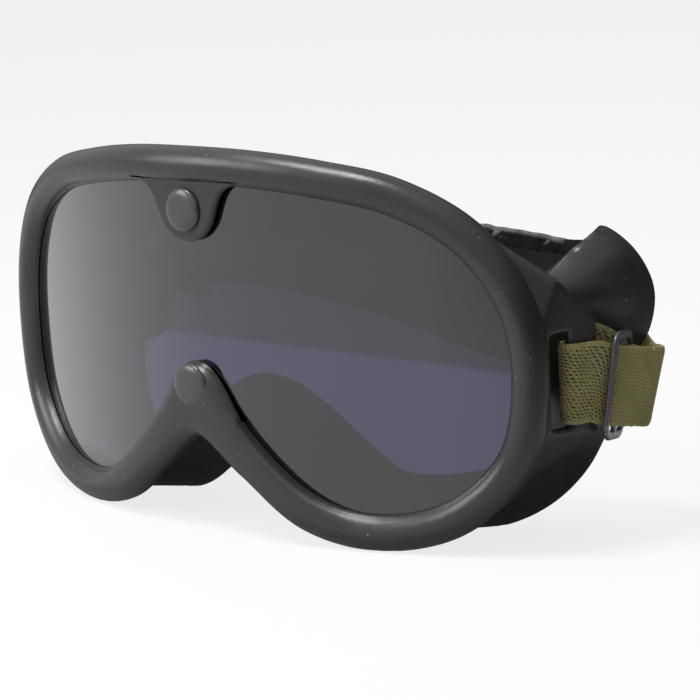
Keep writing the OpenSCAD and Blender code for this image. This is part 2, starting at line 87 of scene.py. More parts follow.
# Half outlines in the front view, from the brow round to the nose
BEAD_LINE = [
    (0, 44.5), (19, 44), (37.5, 42), (56, 38), (72, 28.5), (82, 13), (84.5, -5.5),
    (80.5, -24), (67, -37.5), (49, -42), (31, -38.5), (15.5, -27.5), (0, -18),
]
LENS_SIDE_LINE = [
    (0, 44.5), (19, 44), (37.5, 42), (56, 38), (72, 28.5), (82, 13), (84.5, -5.5),
    (80.5, -24), (67, -37.5), (48.5, -42), (30.5, -37.5), (13.5, -24), (0, -8),
]
REAR_EDGE = [
    (0, 29), (10, 29), (20, 29), (30, 28.8), (40, 28.5), (50, 27.8), (62, 26.2), (78.2, 23.4),
    (82.2, 26.8), (88.2, 21), (91.6, 12), (90.8, 2.6), (87, -6), (83.6, -16), (81.2, -24.6),
    (77, -33), (70.3, -40.3), (61.7, -45), (52, -46.6), (43, -46.6), (34, -45.5), (26, -42.5),
    (18, -37.5), (9, -31.5), (0, -28),
]
LIP_WIDTH = [6, 6, 7, 9, 13, 18, 21, 19, 15, 13.5, 13, 15, 16.5]
WALL_INSET = [7, 7, 8, 10, 11, 7.5, 5, 3, 1, 0, 0, 0, 0]
RIM_STEPS = 14
# Recess at the temple: where it runs round the outline, its depth, and the flap behind it
RECESS_FROM = 2.55
RECESS_TO = 4.85
RECESS_ENDS = (0.4, 0.3)
RECESS_TURN = 4.0
RECESS_SLANT = 0.85
RECESS_DEPTH = 17.0
RECESS_LIP = 0.02
RECESS_SLOPES = (0.3, 0.045)
FLAP_BEGINS = 0.97
FLAP_FOREMOST = 0.3
FLAP_ROLL = 3.2
ROLL_TO = 5.4
ROLL_ENDS = (0.3, 0.5)
ROLL_LEN = 0.75
ROLL_REAR = 0.2
# Where the side wall leaves the bead: outwards in millimetres, and back as a share of the bead
WALL_OUT = 0.2
WALL_BACK = 0.955
# The bead's squarer inner side: how square, and where it begins and ends beside the nose
NOSE_SQUARE = 1.8
SQUARE_BEGIN = (7, 6)
SQUARE_END = (44, 20)

# Strap ears
EAR_X, EAR_Y, EAR_Z = 85.5, 26.0, -6.5
EAR_TURN = 75.0
EAR_T = 3.0
EAR_LEN = 15.5
EAR_BAR = 8.7
EAR_RIDGE = (4, 10.2)
EAR_ROOT = [(69, 31), (80, 15), (83.7, 4), (84.1, -17.4), (77.5, -29.5)]
# The ear's fillet: where it starts to sink into the skin and over what way, how far it is kept,
# and how deep it ends
EAR_FILLET = (1.4, 1.6)
EAR_KEPT = 3.4
EAR_SINK = 0.25
EAR_VOXEL = 0.0005

# Strap and slides
STRAP_W = 19.0
STRAP_T = 1.3
SLOT_H = STRAP_W + 2
SLOT_UP = 1.7
SLIDE_LEN = 10.0
SLIDE_W = 2.0
SLIDE_T = 1.2
SLIDE_AT = 16.5
SLIDE_TURN = 2.6
SLIDE_BAR = (2.3, 1.15)

# Snaps
TOP_SNAP_Z = 33.8
NOSE_SNAP_Z = -9.3
CAP_R = 5.4
CAP_H = 1.6
TOP_TAB_T = 1.8
NOSE_TAB_T = 2.6
TAB_BACK = LENS_T / 2 + RUB
# The block that the nose tab is taken from: half its width, its front, bottom and top
NOSE_HALF = 14
NOSE_FRONT = -12
NOSE_LOW = -20
NOSE_TOP = 2

PORT_X = [14, 28, 42, 56]
CHEEK_X = [42, 54, 66]
PORT_W = 9.0
PORT_HALF = 3.5
FILTER_T = 2.0
FILTER_LEN = 56.0
CHEEK_LEN = 30.0
BROW_FROM = 7
BROW_SLANT = 9
CHEEK_FROM = -69


def at(x, y, z):
    """A design point in millimetres, placed in the row frame in metres."""
    return (Vector((x, y, z)) + SHIFT) * MM


# Curves


def knot(a, b, c, d, t):
    return 0.5 * (
        2 * b + (c - a) * t + (2 * a - 5 * b + 4 * c - d) * t * t + (3 * b - a - 3 * c + d) * t**3
    )


def closed_curve(points, steps):
    n = len(points)
    return [
        knot(points[i - 1], points[i], points[(i + 1) % n], points[(i + 2) % n], j / steps)
        for i in range(n)
        for j in range(steps)
    ]


def open_curve(points, steps):
    last = len(points) - 1
    found = [
        knot(points[max(i - 1, 0)], points[i], points[i + 1], points[min(i + 2, last)], j / steps)
        for i in range(last)
        for j in range(steps)
    ]
    return found + [points[last]]


def whole_outline(half):
    """A closed outline from its right half, whose ends lie on the middle plane."""
    right = [Vector(p) for p in half]
    return right + [Vector((-p.x, p.y)) for p in reversed(right[1:-1])]


def whole_widths(half):
    return list(half) + list(reversed(half[1:-1]))


def even_steps(points, step):
    """Places at equal steps along a way, each as the number of its stretch and its share of it."""
    found, left = [(0, 0.0)], step
    for i, (a, b) in enumerate(zip(points, points[1:])):
        span = (b - a).length
        while left <= span:
            found.append((i, left / span))
            left += step
        left -= span
    return found


def placed_on(points, places):
    return [points[i].lerp(points[i + 1], share) for i, share in places]


def spread(first, last, count):
    return [first + (last - first) * k / (count - 1) for k in range(count)]


# The bowed surface of the lens and the section of the rubber round it


def bow(x):
    return BOW_DEPTH * (math.sqrt(1 + (x / BOW_WIDTH) ** 2) - 1)


def bow_slope(x):
    return BOW_DEPTH * x / (BOW_WIDTH**2 * math.sqrt(1 + (x / BOW_WIDTH) ** 2))


def facing(x):
    """The direction that the lens faces at x."""
    return Vector((bow_slope(x), -1, 0)).normalized()


def sideways(x, q):
    along = Vector((1, bow_slope(x), 0)).normalized()
    return q.x * along + Vector((0, 0, q.y))


def on_bow(p):
    return Vector((p.x, bow(p.x), p.y))


def away(outline, i):
    """The outward direction of a closed outline at a point, in the front view."""
    t = (outline[(i + 1) % len(outline)] - outline[i - 1]).normalized()
    return Vector((-t.y, t.x))


def skirt_y(x):
    return SKIRT_MID_Y + (SKIRT_SIDE_Y - SKIRT_MID_Y) * (x / 92.5) ** 2


def on_face(p, y):
    return Vector((p.x, skirt_y(p.x) + y, p.y))


def turned(centre, out, normal, angle, r):
    a = math.radians(angle)
    return centre + r * (math.cos(a) * out + math.sin(a) * normal)


def rounded(before, corner, after, radius, count):
    a = corner + (before - corner).normalized() * radius
    b = corner + (after - corner).normalized() * radius
    return [
        a.lerp(corner, t).lerp(corner.lerp(b, t), t) for t in spread(0, 1, count)
    ]


RIM = closed_curve(whole_outline(BEAD_LINE), RIM_STEPS)
RIM_IN = closed_curve(whole_outline(LENS_SIDE_LINE), RIM_STEPS)
REAR = closed_curve(whole_outline(REAR_EDGE), RIM_STEPS // 2)
LIP = closed_curve(whole_widths(LIP_WIDTH), RIM_STEPS)
INSET = closed_curve(whole_widths(WALL_INSET), RIM_STEPS)


def outward(i):
    return sideways(RIM[i].x, away(RIM, i))


def ease(t):
    t = min(max(t, 0), 1)
    return t * t * (3 - 2 * t)


def quarter(i):
    """How far a section is from the brow's middle, counted in points of the half outlines."""
    k = i / RIM_STEPS
    return min(k, 2 * (len(BEAD_LINE) - 1) - k)


def flap_front(i):
    """Share of the wall's way at which the temple flap begins, behind the deep recess."""
    past_turn = max(quarter(i) - RECESS_TURN, 0)
    return max(FLAP_BEGINS - past_turn * RECESS_SLANT, FLAP_FOREMOST)


def recess(i, f):
    """Depth of the recess behind the bead at the temple."""
    k, edge = quarter(i), flap_front(i)
    along = ease((k - RECESS_FROM) / RECESS_ENDS[0]) * ease((RECESS_TO - k) / RECESS_ENDS[1])
    down, up = ease((f - RECESS_LIP) / RECESS_SLOPES[0]), ease((edge - f) / RECESS_SLOPES[1])
    return RECESS_DEPTH * along * down * up


def roll(i, f):
    """Height of the round fold just behind the flap's front edge."""
    k = quarter(i)
    t = min(max((f - flap_front(i)) / ROLL_LEN, 0), 1)
    along = ease((k - RECESS_TURN) / ROLL_ENDS[0]) * ease((ROLL_TO - k) / ROLL_ENDS[1])
    return FLAP_ROLL * along * math.sin(math.pi * t) * ease((1 - f) / ROLL_REAR)


def wall_point(i, f, half):
    """A point of the side wall: f runs from the bead to the rear edge, and half stands out from
    the wall's middle."""
    o = outward(i)
    a = on_bow(RIM[i]) + WALL_OUT * o - WALL_BACK * BEAD_R * facing(RIM[i].x)
    b = on_face(REAR[i], 0)
    rise = roll(i, f) - recess(i, f) - INSET[i] * math.sin(math.pi * f)
    return a.lerp(b, f) + o * (half + rise)


def wall_rows(i):
    """Shares of the wall's way for its rows, closer together at the flap's front edge."""
    edge = min(flap_front(i), 0.8)
    near = [0.01, 0.05, 0.1, 0.2, 0.32, 0.45, 0.6, 0.75, 0.86, 0.92, 0.945, 0.96, 0.975, 0.99, 1.0]
    behind = [0.05, 0.15, 0.3, 0.5, 0.75, 1]
    return [edge * t for t in near] + [edge + (0.86 - edge) * t for t in behind]


def lens_edge(i):
    d = on_bow(RIM_IN[i])
    e = sideways(RIM_IN[i].x, away(RIM_IN, i))
    return d + (LENS_BITE - BEAD_R) * e + NOSE_REACH * (on_bow(RIM[i]) - d)


def inner_radius(i, angle):
    """Radius of the bead's inner side, which stands up squarer beside the nose."""
    p = RIM_IN[i]
    share = 0
    if p.y < 0:
        share = ease((abs(p.x) - SQUARE_BEGIN[0]) / SQUARE_BEGIN[1])
        share *= ease((SQUARE_END[0] - abs(p.x)) / SQUARE_END[1])
    power = 2 + NOSE_SQUARE * share
    c, q = abs(math.cos(math.radians(angle))), abs(math.sin(math.radians(angle)))
    return BEAD_R * (c**power + q**power) ** (-1 / power)


def rubber_section(i):
    """One section of the frame: bead, side wall, face lip and lens groove, as a closed ring."""
    c, o, n = on_bow(RIM[i]), outward(i), facing(RIM[i].x)
    d, m = on_bow(RIM_IN[i]), facing(RIM_IN[i].x)
    e = sideways(RIM_IN[i].x, away(RIM_IN, i))
    out2 = away(RIM, i)
    half = WALL_T / 2
    g = math.degrees(math.asin(GROOVE / BEAD_R))
    k = lens_edge(i) + RUB * e
    b = on_face(REAR[i], 0)

    def lip_at(s, y):
        return on_face(REAR[i] - s * LIP[i] * out2, y)

    ring = [turned(d, e, m, w, inner_radius(i, w)) for w in spread(180 - g, 102, 9)]
    for w in (95, 89, 83):
        t = ease((102 - w) / 26)
        out, front = e.lerp(o, t).normalized(), m.lerp(n, t).normalized()
        ring.append(turned(d.lerp(c, t), out, front, w, BEAD_R))
    ring += [turned(c, o, n, w, BEAD_R) for w in spread(76, -54, 14)]
    ring += [wall_point(i, f, half) for f in wall_rows(i)]
    ring += [wall_point(i, f, half) for f in (0.89, 0.92, 0.945)]
    ring += rounded(wall_point(i, 0.95, half), b + 0.8 * o, lip_at(0.2, 0), 0.7, 4)
    ring += [lip_at(s, 0) for s in (0.2, 0.36, 0.52, 0.68, 0.82)]
    ring += rounded(lip_at(0.82, 0), lip_at(1, 0), lip_at(1, -LIP_T), 0.6, 3)
    ring += rounded(lip_at(1, 0), lip_at(1, -LIP_T), lip_at(0.82, -LIP_T), 0.6, 3)
    ring += [lip_at(s, -LIP_T) for s in (0.82, 0.64, 0.46)]
    corner = b - (WALL_T + 0.6) * o - Vector((0, LIP_T + 0.3, 0))
    ring += rounded(lip_at(0.46, -LIP_T), corner, wall_point(i, 0.8, -half), 0.8, 4)
    ring += [wall_point(i, f, -half) for f in reversed([0] + wall_rows(i)[1:-1])]
    ring += [turned(d, e, m, w, BEAD_R) for w in spread(-130, g - 180, 5)]
    ring += [k - GROOVE * m, k + GROOVE * m]
    return ring


# Mesh helpers


def nothing_selected():
    if bpy.context.object and bpy.context.object.mode != "OBJECT":
        bpy.ops.object.mode_set(mode="OBJECT")
    bpy.ops.object.select_all(action="DESELECT")


def take(piece):
    nothing_selected()
    piece.select_set(True)
    bpy.context.view_layer.objects.active = piece
    return piece


def mesh_piece(name, points, faces):
    """A new object from points in row-frame metres."""
    mesh = bpy.data.meshes.new(name)
    mesh.from_pydata([tuple(p) for p in points], [], faces)
    mesh.validate()
    piece = bpy.data.objects.new(name, mesh)
    bpy.context.scene.collection.objects.link(piece)
    return piece


def loft(name, rings, closed=False):
    """A skin over rings of design points, closed into a loop or capped at both ends."""
    sides = len(rings[0])
    spans = len(rings) if closed else len(rings) - 1
    faces = [
        (
            i * sides + j,
            i * sides + (j + 1) % sides,
            (i + 1) % len(rings) * sides + (j + 1) % sides,
            (i + 1) % len(rings) * sides + j,
        )
        for i in range(spans)
        for j in range(sides)
    ]
    if not closed:
        last = (len(rings) - 1) * sides
        faces += [tuple(reversed(range(sides))), tuple(last + j for j in range(sides))]
    piece = mesh_piece(name, [at(*p) for ring in rings for p in ring], faces)
    outside_out(piece)
    return piece


def outside_out(piece):
    take(piece)
    bpy.ops.object.mode_set(mode="EDIT")
    bpy.ops.mesh.select_all(action="SELECT")
    bpy.ops.mesh.remove_doubles(threshold=1e-6)
    bpy.ops.mesh.normals_make_consistent(inside=False)
    bpy.ops.object.mode_set(mode="OBJECT")


def apply_modifier(piece, kind, **values):
    take(piece)
    modifier = piece.modifiers.new(kind.title(), kind)
    for key, value in values.items():
        setattr(modifier, key, value)
    bpy.ops.object.modifier_apply(modifier=modifier.name)
    return piece


def cut(piece, cutter, operation="DIFFERENCE"):
    apply_modifier(piece, "BOOLEAN", object=cutter, operation=operation, solver="EXACT")
    bpy.data.objects.remove(cutter)
    return piece


def joined(pieces, name):
    nothing_selected()
    for piece in pieces:
        piece.select_set(True)
    bpy.context.view_layer.objects.active = pieces[0]
    bpy.ops.object.join()
    pieces[0].name = name
    return pieces[0]


def block(low, high):
    """A plain block between two design corners, for cutting."""
    centre = at(*((low[k] + high[k]) / 2 for k in range(3)))
    nothing_selected()
    bpy.ops.mesh.primitive_cube_add(size=1, location=centre)
    piece = bpy.context.object
    piece.scale = [(high[k] - low[k]) * MM for k in range(3)]
    bpy.ops.object.transform_apply(location=True, rotation=True, scale=True)
    return piece


def rod(centre, axis, radius, length):
    """A plain cylinder, for cutting holes."""
    nothing_selected()
    bpy.ops.mesh.primitive_cylinder_add(
        vertices=48, radius=radius * MM, depth=length * MM, location=at(*centre)
    )
    piece = bpy.context.object
    piece.rotation_euler = Vector(axis).to_track_quat("Z", "Y").to_euler()
    bpy.ops.object.transform_apply(location=True, rotation=True, scale=True)
    return piece


def smooth(piece, angle):
    take(piece)
    bpy.ops.object.shade_smooth_by_angle(angle=math.radians(angle))


def finish_piece(piece, body, material, replaced, angle):
    piece.data.materials.clear()
    piece.data.materials.append(material)
    smooth(piece, angle)
    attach(piece, body)
    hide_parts(*replaced)
    return piece


def copied(piece, name):
    copy = piece.copy()
    copy.data = piece.data.copy()
    copy.name = name
    bpy.context.scene.collection.objects.link(copy)
    return copy


def mirror_mesh(piece):
    """Takes a piece's mesh to the other side of the middle plane."""
    piece.data.transform(Matrix.Scale(-1, 4, (1, 0, 0)))
    piece.data.flip_normals()
    return piece


def mirrored(piece, name):
    """A copy on the other side of the middle plane."""
    return mirror_mesh(copied(piece, name))


def lookup(co):
    """A place in the mesh, rounded so that it can be looked up."""
    return tuple(round(c, 7) for c in co)


# Materials


class Nodes:
    """Short ways to add nodes to a tree."""

    def __init__(self, tree):
        self.tree = tree
        self.place = self.add("ShaderNodeTexCoord")

    def add(self, kind, **values):
        node = self.tree.nodes.new(kind)
        for key, value in values.items():
            if key in node.inputs:
                node.inputs[key].default_value = value
            else:
                setattr(node, key, value)
        return node

    def join(self, output, socket):
        self.tree.links.new(output, socket)

    def grain(self, size, detail=3.0, roughness=0.5):
        """Noise whose features are size metres across."""
        node = self.add("ShaderNodeTexNoise")
        node.inputs["Scale"].default_value = 1 / size
        node.inputs["Detail"].default_value = detail
        node.inputs["Roughness"].default_value = roughness
        self.join(self.place.outputs["Object"], node.inputs["Vector"])
        return node.outputs["Fac"]

    def wander(self, size, reach):
        """A slow drift to both sides, whose waves are size across."""
        return self.maths("MULTIPLY", self.maths("SUBTRACT", self.grain(size, 2), 0.5), reach)

    def split(self, output):
        """The three values of a place."""
        node = self.add("ShaderNodeSeparateXYZ")
        self.join(output, node.inputs["Vector"])
        return node.outputs["X"], node.outputs["Y"], node.outputs["Z"]

    def between(self, factor, low, high, start=0.0, end=1.0):
        node = self.add("ShaderNodeMapRange")
        node.inputs["From Min"].default_value = start
        node.inputs["From Max"].default_value = end
        node.inputs["To Min"].default_value = low
        node.inputs["To Max"].default_value = high
        self.join(factor, node.inputs["Value"])
        return node.outputs["Result"]

    def mix(self, factor, a, b):
        node = self.add("ShaderNodeMix", data_type="RGBA")
        self.join(factor, node.inputs["Factor"])
        for socket, value in ((node.inputs[6], a), (node.inputs[7], b)):
            if isinstance(value, bpy.types.NodeSocket):
                self.join(value, socket)
            else:
                socket.default_value = (*value[:3], 1)
        return node.outputs[2]

    def maths(self, operation, a, b=0.5):
        node = self.add("ShaderNodeMath", operation=operation)
        for socket, value in zip(node.inputs, (a, b)):
            if isinstance(value, bpy.types.NodeSocket):
                self.join(value, socket)
            else:
                socket.default_value = value
        return node.outputs[0]

    def blend(self, factor, a, b):
        node = self.add("ShaderNodeMixShader")
        for value, socket in zip((factor, a, b), node.inputs):
            self.join(value, socket)
        return node.outputs[0]

    def blend_values(self, factor, a, b):
        """a where the factor is 0 and b where it is 1."""
        kept = self.maths("MULTIPLY", a, self.maths("SUBTRACT", 1.0, factor))
        return self.maths("ADD", kept, self.maths("MULTIPLY", b, factor))

    def is_ray(self, *kinds):
        """1 for rays of any of these kinds."""
        path = self.add("ShaderNodeLightPath")
        found = path.outputs[f"Is {kinds[0]} Ray"]
        for kind in kinds[1:]:
            found = self.maths("MAXIMUM", found, path.outputs[f"Is {kind} Ray"])
        return found


class Finish(Nodes):
    """A node material."""

    def __init__(self, name):
        self.material = bpy.data.materials.new(name)
        self.material.use_nodes = True
        super().__init__(self.material.node_tree)
        self.shader = self.tree.nodes["Principled BSDF"]

    def bump(self, height, depth):
        node = self.add("ShaderNodeBump")
        node.inputs["Strength"].default_value = 1.0
        node.inputs["Distance"].default_value = depth
        self.join(height, node.inputs["Height"])
        self.join(node.outputs["Normal"], self.shader.inputs["Normal"])

    def set(self, **values):
        for key, value in values.items():
            self.shader.inputs[key.replace("_", " ")].default_value = value


def rubber_finish(settings):
    f = Finish("moulded rubber")
    cloud = f.grain(0.02, 4)
    fine = f.grain(0.0007, 2)
    base = f.mix(f.between(cloud, 0, 1, 0.3, 0.7), settings.colour, settings.worn)
    specks = f.between(f.grain(0.0011, 1), 0, 1, 0.77, 0.8)
    f.join(f.mix(specks, base, settings.dust), f.shader.inputs["Base Color"])
    dull = f.between(cloud, settings.gloss - 0.05, settings.gloss + 0.09, 0.3, 0.7)
    f.join(dull, f.shader.inputs["Roughness"])
    f.bump(f.maths("ADD", fine, f.maths("MULTIPLY", f.grain(0.004, 2), 2.0)), settings.grain)
    f.set(IOR=1.5)
    return f.material


def lens_finish(settings):
    f = Finish("tinted lens")
    cloud = f.grain(0.03, 3)
    tint = f.mix(f.between(cloud, 0, 1, 0.35, 0.65), settings.tint, settings.tint_deep)
    f.join(tint, f.shader.inputs["Base Color"])
    f.join(f.between(f.grain(0.01, 4), 0.03, 0.07, 0.3, 0.7), f.shader.inputs["Roughness"])
    f.set(Transmission_Weight=1.0, IOR=1.5, Coat_Weight=1.0, Coat_IOR=1.5, Coat_Roughness=0.03)
    return f.material


def metal_finish(name, colour, edge, gloss, metallic):
    f = Finish(name)
    worn = f.between(f.grain(0.0016, 5, 0.6), 0, 1, 0.56, 0.7)
    f.join(f.mix(worn, colour, edge), f.shader.inputs["Base Color"])
    dull = f.between(f.grain(0.003, 3), gloss - 0.06, gloss + 0.08, 0.3, 0.7)
    f.join(dull, f.shader.inputs["Roughness"])
    f.bump(f.grain(0.0009, 2), 0.00002)
    f.set(Metallic=metallic)
    return f.material


# The webbing's threads: size and reach of the drifts in metres, the rest as shares of a stitch
ROW_DRIFT = (0.0045, 0.0011)
ROW_LEAN = 0.12
ROW_SHIFT = 0.37
STITCH_SWAY = (0.0031, 0.0012)
STITCH_SLANT = 0.35
STITCH_SIZE = (0.24, 0.38)
STITCH_RAGGED = 2.2
WORN_LEN = 0.03
SELVEDGE = (0.0083, 0.0087)
# The felt is drawn in painted shade except along its rear edge, where its own pale colour shows:
# where that pale edge begins and is full, as shares of the wall's way
FELT_PALE = (0.961, 0.966)


def webbing_finish(settings):
    """Elastic webbing: rows of short slanted threads along the strap, with dark gaps between them.
    Its UV map is in metres."""
    f = Finish("olive webbing")
    across, along, _ = f.split(f.place.outputs["UV"])
    uneven = f.grain(0.0008, 3)
    drifted = f.maths("ADD", across, f.wander(*ROW_DRIFT))
    leaning = f.maths("ADD", drifted, f.maths("MULTIPLY", along, ROW_LEAN))
    row_place = f.maths("DIVIDE", leaning, settings.row_pitch)
    row = f.maths("FLOOR", f.maths("ADD", row_place, 0.5))
    swayed = f.maths("ADD", along, f.wander(*STITCH_SWAY))
    stitch = f.maths("DIVIDE", swayed, settings.stitch_pitch)
    stitch = f.maths("ADD", stitch, f.maths("MULTIPLY", row, ROW_SHIFT))
    from_row = f.maths("SUBTRACT", row_place, row)
    from_stitch = f.maths("SUBTRACT", f.maths("FRACT", stitch), 0.5)
    slanted = f.maths("ADD", from_row, f.maths("MULTIPLY", from_stitch, STITCH_SLANT))
    off_row, off_stitch = (
        f.maths("POWER", f.maths("ABSOLUTE", f.maths("DIVIDE", off, size)), 2.0)
        for off, size in ((slanted, STITCH_SIZE[0]), (from_stitch, STITCH_SIZE[1]))
    )
    ragged = f.maths("MULTIPLY", f.maths("SUBTRACT", uneven, 0.5), STITCH_RAGGED)
    near = f.maths("ADD", f.maths("ADD", off_row, off_stitch), ragged)
    worn_to = settings.worn_from + WORN_LEN
    worn = f.between(along, 0, 0.7, settings.worn_from, settings.worn_from + 0.004)
    worn = f.maths("MULTIPLY", worn, f.between(along, 1, 0, worn_to, worn_to + 0.02))
    worn = f.maths("MAXIMUM", worn, f.between(f.grain(0.007, 3), 0, 0.6, 0.5, 0.65))
    edge = f.between(f.maths("ABSOLUTE", across), 0, 1, *SELVEDGE)
    plain = f.maths("MAXIMUM", worn, edge)
    knit = f.maths("MAXIMUM", f.between(near, 0, 1, 0.3, 1.1), plain)
    height = f.maths("ADD", knit, f.maths("MULTIPLY", uneven, 0.8))
    tone = f.mix(f.between(f.grain(0.006, 4), 0, 1, 0.3, 0.7), settings.colour, settings.faded)
    fuzz = f.between(f.grain(0.00035, 4, 0.7), 0.75, 1.2, 0.3, 0.7)
    lit = f.mix(fuzz, (0, 0, 0), tone)
    f.join(f.mix(knit, settings.gap, lit), f.shader.inputs["Base Color"])
    f.bump(height, settings.thread_height)
    f.set(Roughness=0.9, Sheen_Weight=0.1, Sheen_Roughness=0.5, Specular_IOR_Level=0.15)
    return f.material


def felt_finish(settings):
    f = Finish("felt")
    fibre = f.grain(0.0006, 6, 0.75)
    clump = f.grain(0.003, 4)
    _, share, _ = f.split(f.place.outputs["UV"])
    frayed = f.maths("MULTIPLY", f.maths("SUBTRACT", fibre, 0.5), 0.002)
    # Painted shade: outside this band along the rear edge, the felt takes dark tones that stand in
    # for the recess's shadow
    pale = f.between(f.maths("ADD", share, frayed), 0, 1, *FELT_PALE)
    nap = f.maths("ADD", fibre, clump)
    raised = f.between(nap, 0, 1, 0.75, 1.25)
    # The felt's own pale colour, kept only along the rear edge
    unshaded_felt = f.mix(raised, settings.edge_deep, settings.edge)
    # Painted shade: the felt darkened as if in shadow
    dark = f.mix(raised, settings.deep, settings.colour)
    f.join(f.mix(pale, dark, unshaded_felt), f.shader.inputs["Base Color"])
    f.bump(nap, 0.0004)
    f.set(Roughness=1.0, Sheen_Weight=0.1, Sheen_Roughness=0.6, Specular_IOR_Level=0.1)
    return f.material


# Settings


def colour_property(name, text, value):
    return bpy.props.FloatVectorProperty(
        name=name, description=text, subtype="COLOR", size=3, min=0, max=1, default=value
    )


def length_property(name, text, value):
    return bpy.props.FloatProperty(
        name=name, description=text, unit="LENGTH", precision=5, min=0, default=value
    )


class GogglesRubber(bpy.types.PropertyGroup):
    colour: colour_property("Rubber", "Colour of the moulded rubber", (0.018, 0.019, 0.0185))
    worn: colour_property(
        "Worn rubber", "Colour where the rubber has greyed", (0.028, 0.029, 0.0275)
    )
    dust: colour_property("Dust", "Colour of the few specks of dust", (0.2, 0.2, 0.19))
    gloss: bpy.props.FloatProperty(
        name="Roughness", description="Roughness of the rubber's skin", min=0, max=1, default=0.31
    )
    grain: length_property("Grain depth", "Depth of the mould's fine grain", 0.00004)


class GogglesLens(bpy.types.PropertyGroup):
    tint: colour_property(
        "Tint", "Colour of the light that the lens lets through", (0.035, 0.031, 0.082)
    )
    tint_deep: colour_property(
        "Deep tint", "Colour of the lens's darker clouds", (0.03, 0.027, 0.078)
    )


class GogglesMetal(bpy.types.PropertyGroup):
    cap: colour_property("Snap", "Colour of the blackened snaps", (0.07, 0.07, 0.072))
    cap_worn: colour_property("Worn snap", "Colour where the blacking is thin", (0.08, 0.08, 0.08))
    slide: colour_property("Slide", "Colour of the lacquered slides", (0.085, 0.08, 0.1))
    slide_worn: colour_property(
        "Worn slide", "Colour where the lacquer is rubbed", (0.2, 0.19, 0.2)
    )
    steel: colour_property("Spring wire", "Colour of the spring wire", (0.5, 0.5, 0.5))


class GogglesWebbing(bpy.types.PropertyGroup):
    colour: colour_property("Webbing", "Colour of the webbing's threads", (0.27, 0.255, 0.1))
    faded: colour_property("Faded webbing", "Colour of faded threads", (0.36, 0.325, 0.15))
    gap: colour_property("Gaps", "Colour between the threads", (0.042, 0.04, 0.014))
    stitch_pitch: length_property(
        "Stitch pitch", "Distance from one stitch to the next along the webbing", 0.00115
    )
    row_pitch: length_property(
        "Row pitch", "Distance between rows of stitches across the webbing", 0.00082
    )
    worn_from: length_property("Worn from", "Where the worn stretch behind the slide begins", 0.018)
    thread_height: length_property(
        "Thread height", "Height of the threads over the gaps", 0.00025
    )


class GogglesFelt(bpy.types.PropertyGroup):
    # Painted shade: colour and deep are the felt darkened as in shadow; edge and edge_deep are its
    # own pale colour, shown along the rear edge
    colour: colour_property("Felt", "Colour of the felt's fibres in painted shade", (0.03, 0.03, 0.029))
    deep: colour_property("Deep felt", "Colour between the fibres", (0.008, 0.008, 0.008))
    edge: colour_property(
        "Unshaded felt", "Colour of the fibres along the rear edge", (0.55, 0.55, 0.53)
    )
    edge_deep: colour_property("Unshaded deep felt", "Colour between them", (0.2, 0.2, 0.19))
    fuzz: length_property("Fuzz", "How far the felt's surface varies", 0.0005)


class GogglesStage(bpy.types.PropertyGroup):
    floor: colour_property("Floor", "Colour of the plain floor", (0.8, 0.8, 0.8))
    bounce: colour_property(
        "Bounce", "Tone of the light that the floor throws back on the object", (0.4, 0.4, 0.4)
    )
    # Shade is also the tone of the painted shadow under the goggles that the glossy skins see in
    # the floor
    shade: colour_property(
        "Shade", "Tone of the dark sides that the glossy skins show", (0.05, 0.05, 0.052)
    )
    room: colour_property(
        "Room", "Tone of the room past the table, seen through tinted plastic", (0.2, 0.16, 0.12)
    )
    table_edge: length_property("Table edge", "Where the table ends behind the goggles", 0.155)
    table_side: length_property("Table side", "Where the table ends beside the goggles", 0.13)
    sky: bpy.props.FloatProperty(
        name="Sky", description="Strength of the soft light on the bright side", min=0, default=0.55
    )
    sky_dark: bpy.props.FloatProperty(
        name="Dark sky", description="Strength of the soft light on the dark side",
        min=0, default=0.1
    )
    lamp: bpy.props.FloatProperty(
        name="Lamp", description="Strength of each soft lamp, in watts", min=0, default=6.0
    )


# Pieces


def ear_point(u, v, z):
    """A place on an ear: u runs back from its root, v stands out from its middle."""
    turn = math.radians(EAR_TURN)
    along = Vector((math.cos(turn), math.sin(turn), 0))
    out = Vector((math.sin(turn), -math.cos(turn), 0))
    return Vector((EAR_X, EAR_Y, z)) + u * along + v * out


def ear_roots():
    turn = math.radians(EAR_TURN)
    out = Vector((math.sin(turn), -math.cos(turn), 0))
    roots = []
    for i, p in enumerate(EAR_ROOT):
        q = Vector((p[0], bow(p[0]), p[1]))
        q += 0.3 * BEAD_R * sideways(p[0], Vector((1, 0))) - 0.6 * BEAD_R * facing(p[0])
        if i in (2, 3):
            q -= (q - Vector((EAR_X, EAR_Y, 0))).dot(out) * out
        roots.append(q)
    return roots


def hull_of(points, radius):
    """The rounded plate that spans these design points."""
    balls = []
    for p in points:
        nothing_selected()
        bpy.ops.mesh.primitive_ico_sphere_add(subdivisions=3, radius=radius * MM, location=at(*p))
        bpy.ops.object.transform_apply(location=True, rotation=True, scale=True)
        balls.append(bpy.context.object)
    piece = joined(balls, "hull")
    take(piece)
    bpy.ops.object.mode_set(mode="EDIT")
    bpy.ops.mesh.select_all(action="SELECT")
    bpy.ops.mesh.convex_hull()
    bpy.ops.object.mode_set(mode="OBJECT")
    return piece


def rubber_ring():
    ring = loft("rubber_ring", [rubber_section(i) for i in range(len(RIM))], closed=True)
    for v in ring.data.vertices:
        v.co.z = max(v.co.z, 0)
    return ring


